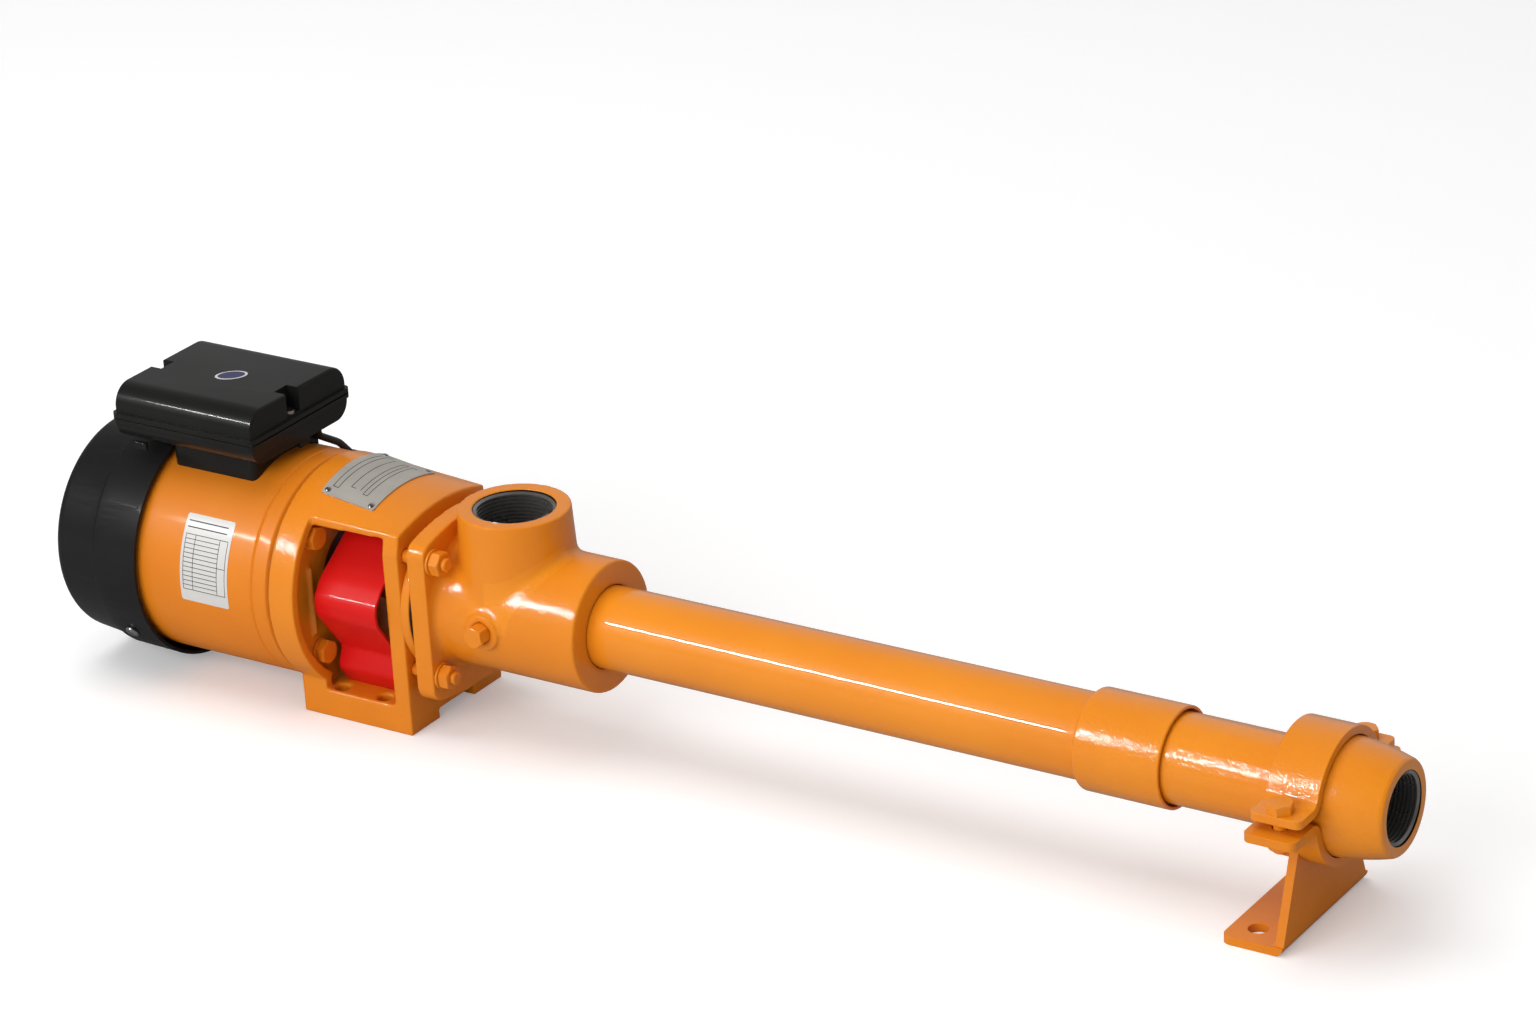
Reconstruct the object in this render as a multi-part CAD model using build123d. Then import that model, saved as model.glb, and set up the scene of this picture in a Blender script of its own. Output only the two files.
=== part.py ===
from build123d import *
import math
import os

# Close-coupled progressive cavity pump: a fan-cooled motor drives a helical rotor that turns and
# orbits inside a two-start rubber stator. x runs along the shaft from the fan to the end port, z is up.
# Pieces are drawn about the shaft axis (z = 0 there) and lifted by axis_height when they are written,
# so that the origin is on the floor, at the middle of the bracket's four foot bolts.

# ---- fits and clearances ----
slip = 0.05             # radial clearance of a sliding or running fit
bolt_gap = 0.5          # radial clearance of a bolt hole
rub_gap = 0.3           # axial gap between a turning face and a still one
axis_height = 75.0      # floor to shaft axis

# ---- M8 fasteners ----
m8_r = 4.0
m8_flats = 13.0
m8_head = 5.4
m8_nut = 6.5
m8_washer_r = 8.0
m8_washer = 1.6

# ---- lantern bracket, between motor and pump ----
bracket_length = 78.0
bracket_width = 88.6
ring_r = 68.0           # round motor end
ring_depth = 17.6       # how far the ring stands along x
rear_wall = 11.6
front_wall = 11.0
cast_wall = 6.0
foot_thickness = 17.0
foot_slot_width = 34.0  # relief between the two foot pads
foot_slot_depth = 6.0
foot_bolt_dx = 30.6
foot_bolt_dy = 73.0
foot_bolt_r = 4.5
window_top = 46.5       # underside of the roof beside the windows
roof_shoulder = 49.5
roof_crown = 56.5
roof_half = 41.5
shoulder_drop = 11.5    # sloping corner of the front wall
motor_register_r = 30.0
seal_register_r = 26.0
motor_bolt_y = 39.0
motor_bolt_z = 36.0
corner_r = 4.0
floor_fillet_r = 2.5    # between the window floor and the front wall

# ---- seal plate and its gasket ----
stud_pitch = 71.0       # square on which the four flange studs stand
seal_plate_r = stud_pitch / math.sqrt(2) - m8_r - 0.2
seal_plate_thickness = 6.0
seal_spigot = 5.0       # depth of the plate's spigots, both sides
gasket_thickness = 0.6

# ---- pump housing ----
flange_thickness = 12.0
flange_shoulder = 45.0
flange_crown = 53.0
flange_drop = -49.5
flange_belly = -55.0
flange_corner_r = 9.0
barrel_r = 38.5
barrel_root_r = 3.0     # fillet between barrel and flange
housing_length = 108.0
chamber_r = 31.5
port_offset = 46.1      # port centre from the flange's rear face
port_top = 62.8
port_r = 32.5
port_draft = 3.0        # degrees
port_thread_r = 23.9    # 1 1/2 inch pipe thread
port_thread_depth = 24.0
port_bore_r = 20.5
socket_depth = 12.0
socket_wall = 2.6
oring_section_r = 1.3
boss_r = 11.0
boss_stand = 2.4
plug_r = 6.0
plug_flats = 12.5
plug_head = 8.0
plug_reach = 7.0

# ---- stator, its tube and the sleeve joint ----
tube_r = 24.15          # 1 1/2 inch steel pipe
tube_wall = 2.6
tube_show = 313.5       # bare tube between housing and sleeve
sleeve_length = 52.5
sleeve_r = 28.4
sleeve_lap = 19.0       # how far the tube enters the sleeve
sleeve_gap = 1.4        # open gap round the end pipe
sleeve_gap_depth = 8.0
stator_length = 300.0
stator_inset = 20.0     # from the tube's rear end

# ---- helical rotor ----
rotor_r = 9.5           # radius of the round section
eccentricity = 4.0
rotor_pitch = 60.0      # the two-start stator's lead is twice this
rotor_clearance = 0.45
rotor_overhang = 6.0    # helix beyond each end of the stator
rotor_head_r = 10.0
rotor_head = 20.0

# ---- end fitting with its threaded port ----
pipe_r = 25.1
pipe_bore_r = 21.5
pipe_show = 68.5        # bare pipe between sleeve and hub
hub_r = 32.2
hub_length = 60.5
hub_land = 29.0         # straight part of the hub, under the clamp
nose_mid_r = 30.2
nose_r = 27.2
mouth_r = 25.4
mouth_round = 3.0
end_thread_r = 20.4     # 1 1/4 inch pipe thread
end_thread_depth = 22.0

# ---- clamp and its foot ----
strap_width = 30.0
strap_thickness = 5.0
strap_bend = 9.0
saddle_bend = 6.0
strap_ear_z = 7.3
saddle_ear_z = -2.0
strap_ear_end = 55.5
saddle_ear_end = 62.5
clamp_bolt_y = 48.0
foot_plate = 5.0
end_foot_half = 49.2
end_foot_depth = 36.0
end_foot_top = 30.0     # half width of the upright where it meets the saddle
end_foot_hole_r = 5.6
end_foot_hole_y = 34.5
end_foot_hole_x = 14.6  # from the toe of the foot
end_foot_corner = 5.0
end_foot_bend = 5.0     # outside of the bend between upright and toe
end_foot_throat = 2.5   # inside of the same bend

# ---- motor ----
shell_r = 66.5
shell_wall = 2.5
shell_length = 108.0
rim_step = 1.5          # the end shields' rims stand inside the shell by this
front_rim = 2.0
rear_rim = 8.0          # carries the cowl's screw lugs
lug_r = 6.0
shield_wall = 7.0
shield_register = 11.0  # how far the shields reach into the shell
bearing_r = 17.5
bearing_width = 11.0
bearing_seat_wall = 5.0
shaft_r = 7.5
nose_shaft_r = 7.0
shaft_nose = 42.0       # shaft standing out of the drive end shield
core_length = 52.0
core_r = 38.0
air_gap = 0.5
winding_length = 13.0
fan_r = 58.0
fan_hub_r = 14.0
fan_width = 14.0
fan_blades = 10
fan_gap = 4.0

# ---- fan cowl ----
cowl_r = 72.0
cowl_mid_r = 69.0
cowl_end_r = 66.0
cowl_length = 66.5
cowl_step = 31.0
cowl_lap = 14.0         # length of cowl over the shell
cowl_wall = 2.0
cowl_round = 8.0
grille_slots = 18
grille_slot_width = 5.0
grille_in = 18.0
grille_out = 52.0
cowl_screw_r = 2.5
cowl_screw_head_r = 4.2
cowl_screw_angle = 215.7
cowl_screw_x = 18.0     # from the cowl's open rim
cowl_taper = 0.8        # how far the cowl's side draws in
cowl_hole_depth = 12.0  # cutter length of the screw holes
screw_grip = 8.0        # depth of the lugs' screw holes

# ---- terminal box ----
box_rear = 120.5        # from the bracket's rear face to the lid's far end
box_front = 20.0
box_half = 45.0
box_wall = 2.2
box_floor = 74.5
box_depth = 14.0        # floor to rim
lid_height = 19.5       # rim to top
box_rim = box_floor + box_depth
box_lip = 2.0
box_lip_height = 2.4
box_gasket = 1.2
lid_top = box_rim + lid_height
lid_round = 13.0
neck_length = 61.0
neck_front = 30.9       # from the bracket's rear face
neck_inset = 14.0       # from the box's side to the neck's
neck_half = box_half - neck_inset
lid_screw_y = -4.5
lid_pocket = 12.0
lid_pocket_depth = 8.5
lid_pocket_drop = 14.5  # from the lid's top to the screw seat
lid_pocket_floor = lid_top - lid_pocket_drop
lid_screw_r = 2.0
capacitor_r = 14.0
capacitor_length = 60.0
capacitor_inset = 12.0
capacitor_y = -22.0
terminal_y = 8.0
terminal_width = 18.0
terminal_length = 44.0
terminal_ways = 4
gland_x = -105.0
gland_drop = 8.0        # under the box's floor
gland_z = box_floor - gland_drop
gland_r = 5.5
gland_flats = 14.0
gland_collar = 5.0
gland_dome = 7.0

# ---- motor lead, held from the box to a boot on the shell ----
lead_r = 2.2
lead_x = 66.0           # behind the bracket's middle
lead_y = 24.0
lead_drop = 6.5         # straight part under the box floor
lead_bend_r = 5.5
lead_sweep_r = 25.0
boot_angle = 32.0       # above the horizontal
boot_length = 14.0
boot_width = 11.0
boot_height = 7.5

# ---- drive line ----
drive_hub_r = 13.0
drive_hub_length = 34.0
drive_r = 9.5
drive_socket = 30.0     # depth of the motor shaft's bore
drive_nose = 74.0       # front end of the drive shaft
drive_collar_r = 14.0
drive_collar = 3.0
key_width = 5.0
key_length = 24.0
thrower_r = 17.0
thrower_width = 5.0
seat_r = 15.9
seat_length = 9.0
seal_head_r = 15.5
seal_head_length = 10.0
spring_r = 12.2
spring_wire = 1.0
spring_turns = 3
flex_r = 4.0
flex_socket = 24.0
flex_head_socket = 15.0
flex_bend_r = 200.0

# ---- shaft guard ----
guard_wall = 2.2
guard_rear = -18.4
guard_front = 25.1
guard_top_bend = 15.0

# ---- stations along the shaft, worked out from the sizes above ----
bracket_rear = -bracket_length / 2
bracket_front = bracket_length / 2
rear_face = bracket_rear + rear_wall
front_face = bracket_front - front_wall
plate_front = bracket_front + seal_plate_thickness
housing_rear = plate_front + gasket_thickness
flange_front = housing_rear + flange_thickness
housing_front = housing_rear + housing_length
port_x = housing_rear + port_offset
tube_rear = housing_front - socket_depth
sleeve_rear = housing_front + tube_show
tube_front = sleeve_rear + sleeve_lap
sleeve_front = sleeve_rear + sleeve_length
stator_rear = tube_rear + stator_inset
stator_front = stator_rear + stator_length
helix_rear = stator_rear - rotor_overhang
helix_front = stator_front + rotor_overhang
hub_rear = sleeve_front + pipe_show
hub_front = hub_rear + hub_length
clamp_rear = hub_rear - 1.0
clamp_front = clamp_rear + strap_width
clamp_x = (clamp_rear + clamp_front) / 2
shell_front = bracket_rear - front_rim
shell_rear = shell_front - shell_length
shell_bore_r = shell_r - shell_wall
cowl_front = shell_rear + cowl_lap
cowl_rear = cowl_front - cowl_length
floor_z = -axis_height
stud_xy = [(y, z) for y in (-stud_pitch / 2, stud_pitch / 2) for z in (-stud_pitch / 2, stud_pitch / 2)]
motor_bolt_yz = [(y, z) for y in (-motor_bolt_y, motor_bolt_y) for z in (-motor_bolt_z, motor_bolt_z)]


def across(x):
    return Plane(origin=(x, 0, 0), x_dir=(0, 1, 0), z_dir=(1, 0, 0))


def slab(x0, x1, face):
    return extrude(across(x0) * face, x1 - x0)


def rod(x0, x1, r, y=0.0, z=0.0):
    return slab(x0, x1, Pos(y, z) * Circle(r))


def ring(x0, x1, r_in, r_out):
    return slab(x0, x1, Circle(r_out) - Circle(r_in))


def block(x0, x1, y0, y1, z0, z1):
    return Pos((x0 + x1) / 2, (y0 + y1) / 2, (z0 + z1) / 2) * Box(x1 - x0, y1 - y0, z1 - z0)


def post(x, y, z0, z1, r):
    return Pos(x, y, (z0 + z1) / 2) * Cylinder(r, z1 - z0)


def turned(*points):
    return revolve(Plane.XZ * make_face(Polyline(*points, close=True)), Axis.X)


def hexagon(flats):
    return RegularPolygon(flats / 2, 6, major_radius=False)


def hex_bar(x0, x1, flats, y, z):
    return slab(x0, x1, Pos(y, z) * hexagon(flats))


def arched(half, low, shoulder, crown):
    top = ThreePointArc((half, shoulder), (0, crown), (-half, shoulder))
    sides = Polyline((-half, shoulder), (-half, low), (half, low), (half, shoulder))
    return make_face(Curve() + [top, sides])


def group(pieces):
    return Compound([p.solid() for p in pieces])


# ---- lantern bracket and guard ----

def front_outline():
    half = bracket_width / 2
    low = roof_shoulder - shoulder_drop
    top = ThreePointArc((roof_half, roof_shoulder), (0, roof_crown), (-roof_half, roof_shoulder))
    rest = Polyline((-roof_half, roof_shoulder), (-half, low), (-half, floor_z), (half, floor_z), (half, low),
                    (roof_half, roof_shoulder))
    return make_face(Curve() + [top, rest])


def roof_section(x, half, shoulder, crown, low):
    return across(x) * arched(half, low, shoulder, crown)


def lantern_bracket():
    half = bracket_width / 2
    ring_front = bracket_rear + ring_depth
    ring_in = ring_r - cast_wall
    shoulder = math.sqrt(ring_r ** 2 - half ** 2)
    body = turned((bracket_rear, 0), (bracket_rear, ring_r), (ring_front, ring_r), (ring_front, ring_in),
                  (rear_face, ring_in), (rear_face, 0))
    foot_top = floor_z + foot_thickness
    body += block(bracket_rear, ring_front, -half, half, floor_z, -shoulder)
    body -= block(rear_face, ring_front, cast_wall - half, half - cast_wall, foot_top, -shoulder)
    body += block(bracket_rear, bracket_front, -half, half, floor_z, foot_top)
    body += slab(front_face, bracket_front, front_outline())
    roof = loft([roof_section(ring_front - 3, half, shoulder, ring_r, window_top),
                 roof_section(bracket_front, roof_half, roof_shoulder, roof_crown, window_top)])
    hollow_half = half - cast_wall
    hollow_shoulder = math.sqrt(ring_in ** 2 - hollow_half ** 2)
    low = window_top - cast_wall
    roof -= loft([roof_section(rear_face, hollow_half, hollow_shoulder, ring_in, low),
                  roof_section(front_face, roof_half - cast_wall, window_top + 0.6, roof_crown - cast_wall, low)])
    body += roof
    inner = body.edges().filter_by(Axis.Y).filter_by(
        lambda e: abs(e.center().Z - foot_top) < 0.1 and abs(e.center().X - front_face) < 0.1)
    body = fillet(inner, floor_fillet_r)
    body -= rod(bracket_rear, rear_face, motor_register_r)
    body -= rod(front_face, bracket_front, seal_register_r)
    slot = foot_slot_width / 2
    body -= block(bracket_rear, bracket_front, -slot, slot, floor_z, floor_z + foot_slot_depth)
    for y, z in motor_bolt_yz:
        body -= rod(bracket_rear, rear_face, m8_r + bolt_gap, y, z)
    for y, z in stud_xy:
        body -= rod(front_face, bracket_front, m8_r + slip, y, z)
    for x in (-foot_bolt_dx / 2, foot_bolt_dx / 2):
        for y in (-foot_bolt_dy / 2, foot_bolt_dy / 2):
            body -= post(x, y, floor_z, foot_top, foot_bolt_r)
    return body


def shaft_guard():
    # One springy sheet over the shaft: a pitched top, a blunt bulge at each side and feet on the floor.
    foot_top = floor_z + foot_thickness
    side = [(43.0, 14.0), (51.0, 4.0), (50.0, -6.0), (29.5, -34.0), (34.0, -46.0), (26.0, foot_top)]
    line = [(-y, z) for y, z in reversed(side)] + [(0, 43.5)] + side
    radii = [5.0, 5.0, 10.0, 10.0, 20.0]
    path = FilletPolyline(*line, radius=radii + [guard_top_bend] + radii[::-1])
    sheet = trace(path, line_width=guard_wall)
    guard = slab(guard_rear, guard_front, sheet)
    return guard & block(guard_rear, guard_front, -ring_r, ring_r, foot_top, roof_crown)


# ---- seal plate, gasket and pump housing ----

def seal_plate():
    return turned((bracket_front - seal_spigot, seat_r + 0.1 - 5.0),
                  (bracket_front - seal_spigot, seal_register_r - slip),
                  (bracket_front, seal_register_r - slip), (bracket_front, seal_plate_r),
                  (plate_front, seal_plate_r), (plate_front, chamber_r - slip),
                  (housing_rear + seal_spigot, chamber_r - slip), (housing_rear + seal_spigot, seat_r + slip),
                  (bracket_front, seat_r + slip), (bracket_front, seat_r + 0.1 - 5.0))


def flange_gasket():
    return ring(plate_front, housing_rear, chamber_r, seal_plate_r - 1.0)


def housing_outline():
    half = bracket_width / 2
    top = ThreePointArc((half, flange_shoulder), (0, flange_crown), (-half, flange_shoulder))
    belly = ThreePointArc((-half, flange_drop), (0, flange_belly), (half, flange_drop))
    sides = [Line((-half, flange_shoulder), (-half, flange_drop)), Line((half, flange_drop), (half, flange_shoulder))]
    face = make_face(Curve() + [top, belly] + sides)
    return fillet(face.vertices(), flange_corner_r)


def pump_housing():
    neck_root_r = port_r + math.tan(math.radians(port_draft)) * port_top
    body = rod(flange_front - 1.0, housing_front, barrel_r) + slab(housing_rear, flange_front, housing_outline())
    root = body.edges().filter_by(GeomType.CIRCLE).filter_by(
        lambda e: abs(e.center().X - flange_front) < 0.1 and abs(e.radius - barrel_r) < 0.1)
    body = fillet(root, barrel_root_r)
    body += Pos(port_x, 0, port_top / 2) * Cone(neck_root_r, port_r, port_top)
    body += Pos(port_x, -barrel_r / 2, 0) * Rot(90, 0, 0) * Cylinder(boss_r, barrel_r + 2 * boss_stand)
    body -= rod(housing_rear, tube_rear - socket_wall, chamber_r)
    body -= rod(housing_rear, tube_rear, tube_r - tube_wall)
    body -= rod(tube_rear, housing_front, tube_r + slip)
    groove = tube_rear + socket_depth / 2
    body -= ring(groove - 1.5, groove + 1.5, tube_r, tube_r + 2 * (oring_section_r + slip))
    body -= post(port_x, 0, 0, port_top, port_bore_r)
    body -= post(port_x, 0, port_top - port_thread_depth, port_top, port_thread_r)
    body -= Pos(port_x, -(barrel_r + boss_stand - plug_reach / 2), 0) * Rot(90, 0, 0) * Cylinder(plug_r + slip,
                                                                                                  plug_reach)
    for y, z in stud_xy:
        body -= rod(housing_rear, flange_front, m8_r + bolt_gap, y, z)
    return body


def side_plug():
    face = -(barrel_r + boss_stand)
    seat = Plane(origin=(port_x, face, 0), x_dir=(1, 0, 0), z_dir=(0, -1, 0))
    return extrude(seat * hexagon(plug_flats), plug_head) + extrude(seat * Circle(plug_r), 0.5 - plug_reach)


def housing_oring():
    centre = tube_rear + socket_depth / 2
    return revolve(Plane.XZ * Pos(centre, tube_r + slip + oring_section_r) * Circle(oring_section_r), Axis.X)


def flange_studs():
    tip = flange_front + m8_washer + m8_nut + 3.0
    return group([rod(front_face, tip, m8_r, y, z) for y, z in stud_xy])


def flange_washers():
    x0 = flange_front
    return group([slab(x0, x0 + m8_washer, Pos(y, z) * (Circle(m8_washer_r) - Circle(m8_r + slip)))
                  for y, z in stud_xy])


def flange_nuts():
    x0 = flange_front + m8_washer
    return group([slab(x0, x0 + m8_nut, Pos(y, z) * (hexagon(m8_flats) - Circle(m8_r + slip))) for y, z in stud_xy])


def motor_bolts():
    head_x = rear_face + m8_washer
    tip = bracket_rear - shield_wall
    return group([hex_bar(head_x, head_x + m8_head, m8_flats, y, z) + rod(tip, head_x, m8_r, y, z)
                  for y, z in motor_bolt_yz])


def motor_bolt_washers():
    return group([slab(rear_face, rear_face + m8_washer, Pos(y, z) * (Circle(m8_washer_r) - Circle(m8_r + slip)))
                  for y, z in motor_bolt_yz])


# ---- stator, rotor and the sleeve joint ----

def stator_tube():
    return ring(tube_rear, tube_front, tube_r - tube_wall, tube_r)


def stator_rubber():
    lead = 2 * rotor_pitch
    phase = 360.0 * rotor_overhang / lead
    slot = Rot(0, 0, phase) * SlotCenterToCenter(4 * eccentricity, 2 * (rotor_r + rotor_clearance))
    cavity = Solid.extrude_linear_with_rotation(slot.face(), (0, 0, 0), (0, 0, stator_length),
                                                360.0 * stator_length / lead)
    return rod(stator_rear, stator_front, tube_r - tube_wall - slip) - across(stator_rear).location * cavity


def helical_rotor():
    length = helix_front - helix_rear
    axis_plane = Plane(origin=(helix_rear, eccentricity, 0), x_dir=(0, 1, 0), z_dir=(1, 0, 0))
    path = Helix(rotor_pitch, length, eccentricity)
    screw = sweep(Pos(eccentricity, 0) * Circle(rotor_r), path=path, normal=(0, 0, 1))
    screw = axis_plane.location * screw.solid()
    head = rod(helix_rear - rotor_head, helix_rear, rotor_head_r, eccentricity)
    head -= rod(helix_rear - rotor_head, helix_rear - rotor_head + flex_head_socket, flex_r + slip, eccentricity)
    return head + screw


def coupling_sleeve():
    sleeve = turned((sleeve_rear, tube_r + slip), (sleeve_rear, sleeve_r), (sleeve_front, sleeve_r),
                    (sleeve_front, pipe_r + sleeve_gap), (sleeve_front - sleeve_gap_depth, pipe_r + sleeve_gap),
                    (sleeve_front - sleeve_gap_depth, pipe_r + slip), (tube_front, pipe_r + slip),
                    (tube_front, tube_r + slip))
    outer = sleeve.edges().filter_by(lambda e: abs(e.center().X - sleeve_rear) < 0.1).sort_by(lambda e: e.length)[-1]
    return fillet(outer, 2.0)


def discharge_nozzle():
    nose_x = hub_rear + hub_land
    profile = Curve() + [
        Polyline((nose_x, hub_r), (hub_rear + 1.5, hub_r), (hub_rear, pipe_r), (tube_front + 0.5, pipe_r),
                 (tube_front + 0.5, pipe_bore_r), (hub_front - end_thread_depth - 6.0, pipe_bore_r),
                 (hub_front - end_thread_depth, end_thread_r - 1.2), (hub_front - end_thread_depth, end_thread_r),
                 (hub_front, end_thread_r), (hub_front, mouth_r)),
        ThreePointArc((hub_front, mouth_r), (hub_front - 0.9, nose_r - 0.9), (hub_front - mouth_round, nose_r)),
        ThreePointArc((hub_front - mouth_round, nose_r), ((nose_x + hub_front) / 2, nose_mid_r), (nose_x, hub_r))]
    return revolve(Plane.XZ * make_face(profile), Axis.X)


# ---- clamp and end foot ----

def bent_strap(ear_z, ear_end, bend, side):
    mid_r = hub_r + 0.5 + strap_thickness / 2
    turn_z = ear_z + side * bend
    turn_y = math.sqrt((mid_r + bend) ** 2 - turn_z ** 2)
    touch_y = turn_y * mid_r / (mid_r + bend)
    touch_z = turn_z * mid_r / (mid_r + bend)
    half_angle = math.atan2(turn_y, side * turn_z) / 2
    bend_y = turn_y - bend * math.sin(half_angle)
    bend_z = turn_z - side * bend * math.cos(half_angle)
    path = Curve() + [
        Line((-ear_end, ear_z), (-turn_y, ear_z)),
        ThreePointArc((-turn_y, ear_z), (-bend_y, bend_z), (-touch_y, touch_z)),
        ThreePointArc((-touch_y, touch_z), (0, side * mid_r), (touch_y, touch_z)),
        ThreePointArc((touch_y, touch_z), (bend_y, bend_z), (turn_y, ear_z)),
        Line((turn_y, ear_z), (ear_end, ear_z))]
    bar = slab(clamp_rear, clamp_front, trace(path, line_width=strap_thickness))
    ends = bar.edges().filter_by(Axis.Z).filter_by(lambda e: abs(abs(e.center().Y) - ear_end) < 0.1)
    bar = fillet(ends, corner_r)
    for y in (-clamp_bolt_y, clamp_bolt_y):
        bar -= post(clamp_x, y, ear_z - strap_thickness, ear_z + strap_thickness, m8_r + bolt_gap)
    return bar


def clamp_strap():
    return bent_strap(strap_ear_z, strap_ear_end, strap_bend, 1)


def clamp_saddle():
    return bent_strap(saddle_ear_z, saddle_ear_end, saddle_bend, -1)


def clamp_bolts():
    top = strap_ear_z + strap_thickness / 2
    low = saddle_ear_z - strap_thickness / 2 - m8_nut - 3.0
    head = Plane(origin=(clamp_x, 0, top), x_dir=(1, 0, 0), z_dir=(0, 0, 1))
    return group([extrude(head * Pos(0, y) * hexagon(m8_flats), m8_head) + post(clamp_x, y, low, top, m8_r)
                  for y in (-clamp_bolt_y, clamp_bolt_y)])


def clamp_nuts():
    low = saddle_ear_z - strap_thickness / 2 - m8_nut
    seat = Plane(origin=(clamp_x, 0, low), x_dir=(1, 0, 0), z_dir=(0, 0, 1))
    return group([extrude(seat * Pos(0, y) * (hexagon(m8_flats) - Circle(m8_r + slip)), m8_nut)
                  for y in (-clamp_bolt_y, clamp_bolt_y)])


def support_foot():
    heel = clamp_x + 0.5
    toe = heel - end_foot_depth
    outer = hub_r + 0.5 + strap_thickness
    seat_z = -math.sqrt(outer ** 2 - end_foot_top ** 2)
    upright = make_face(Polyline((-end_foot_half, floor_z), (end_foot_half, floor_z), (end_foot_top, seat_z),
                                 (-end_foot_top, seat_z), close=True)) - Circle(outer)
    foot = slab(heel - foot_plate, heel, upright)
    foot += block(toe, heel, -end_foot_half, end_foot_half, floor_z, floor_z + foot_plate)
    toes = foot.edges().filter_by(Axis.Z).filter_by(lambda e: abs(e.center().X - toe) < 0.1)
    foot = fillet(toes, end_foot_corner)
    bend = foot.edges().filter_by(Axis.Y).filter_by(
        lambda e: abs(e.center().X - heel) < 0.1 and abs(e.center().Z - floor_z) < 0.1)
    foot = fillet(bend, end_foot_bend)
    throat = foot.edges().filter_by(Axis.Y).filter_by(
        lambda e: abs(e.center().X - heel + foot_plate) < 0.1 and abs(e.center().Z - floor_z - foot_plate) < 0.1)
    foot = fillet(throat, end_foot_throat)
    for y in (-end_foot_hole_y, end_foot_hole_y):
        foot -= post(toe + end_foot_hole_x, y, floor_z, floor_z + foot_plate, end_foot_hole_r)
    return foot


# ---- motor ----

def motor_shell():
    return ring(shell_rear, shell_front, shell_bore_r, shell_r)


def end_shield(face_x, inward, spigot):
    # face_x is the outer face, and inward is the way from it to the middle of the motor.
    rim = shell_r - rim_step
    rim_width = front_rim if spigot else rear_rim
    seat_depth = shield_wall + bearing_width
    wall = [(0, shaft_r + 1.0), (0, rim), (rim_width, rim), (rim_width, shell_bore_r - slip),
            (rim_width + shield_register, shell_bore_r - slip), (rim_width + shield_register, shell_bore_r - 4.0),
            (shield_wall, shell_bore_r - 4.0), (shield_wall, bearing_r + bearing_seat_wall),
            (seat_depth, bearing_r + bearing_seat_wall), (seat_depth, bearing_r + slip),
            (shield_wall, bearing_r + slip), (shield_wall, shaft_r + 1.0)]
    if spigot:
        reach = -(rear_wall - 1.0)
        wall = [(reach, shaft_r + 1.0), (reach, motor_register_r - slip), (0, motor_register_r - slip)] + wall[1:]
    return turned(*[(face_x + inward * x, r) for x, r in wall])


def drive_end_shield():
    shield = end_shield(bracket_rear, -1, True)
    for y, z in motor_bolt_yz:
        shield -= rod(bracket_rear - shield_wall, bracket_rear, m8_r + slip, y, z)
    return shield


def fan_end_shield():
    shield = end_shield(shell_rear - rear_rim, 1, False)
    lug_top = cowl_r - cowl_wall - cowl_taper
    lug_foot = shell_bore_r - 4.0
    for place in cowl_screw_places():
        shield += place * Pos(0, 0, (lug_top + lug_foot) / 2) * Cylinder(lug_r, lug_top - lug_foot)
    shield &= rod(shell_rear - rear_rim, shell_rear, lug_top) + rod(shell_rear, shell_front, shell_bore_r - slip)
    for place in cowl_screw_places():
        shield -= place * Pos(0, 0, lug_top - screw_grip / 2) * Cylinder(cowl_screw_r + slip, screw_grip)
    return shield


def bearing(x0):
    return ring(x0, x0 + bearing_width, shaft_r + slip, bearing_r)


def drive_end_bearing():
    return bearing(bracket_rear - shield_wall - bearing_width)


def fan_end_bearing():
    return bearing(shell_rear - rear_rim + shield_wall)


core_front = (shell_rear + shell_front + core_length) / 2
core_rear = core_front - core_length


def stator_core():
    return ring(core_rear, core_front, core_r, shell_bore_r - slip)


def motor_windings():
    inner = core_r + 4.0
    outer = shell_bore_r - 6.0
    return group([ring(core_front, core_front + winding_length, inner, outer),
                  ring(core_rear - winding_length, core_rear, inner, outer)])


def rotor_core():
    return ring(core_rear, core_front, shaft_r + slip, core_r - air_gap)


fan_rear = shell_rear - rear_rim - fan_gap - fan_width


def motor_shaft():
    front = bracket_rear + shaft_nose
    shaft = rod(fan_rear, bracket_rear, shaft_r) + rod(bracket_rear, front, nose_shaft_r)
    key_front = front - 1.0
    return shaft - block(key_front - key_length, key_front, -key_width / 2, key_width / 2, nose_shaft_r - 3.0, shaft_r)


def cooling_fan():
    fan = rod(fan_rear, fan_rear + fan_width, fan_hub_r) + ring(fan_rear + fan_width - 2.5, fan_rear + fan_width,
                                                                fan_hub_r, fan_r)
    blade = block(fan_rear, fan_rear + fan_width, -1.2, 1.2, fan_hub_r - 1.0, fan_r)
    for k in range(fan_blades):
        fan += Rot(360.0 * k / fan_blades, 0, 0) * blade
    return fan - rod(fan_rear, fan_rear + fan_width, shaft_r + slip)


def cowl_screw_places():
    x = cowl_front - cowl_screw_x
    return [Rot(cowl_screw_angle + 120.0 * k, 0, 0) * Pos(x, 0, 0) * Rot(-90, 0, 0) for k in range(3)]


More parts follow.
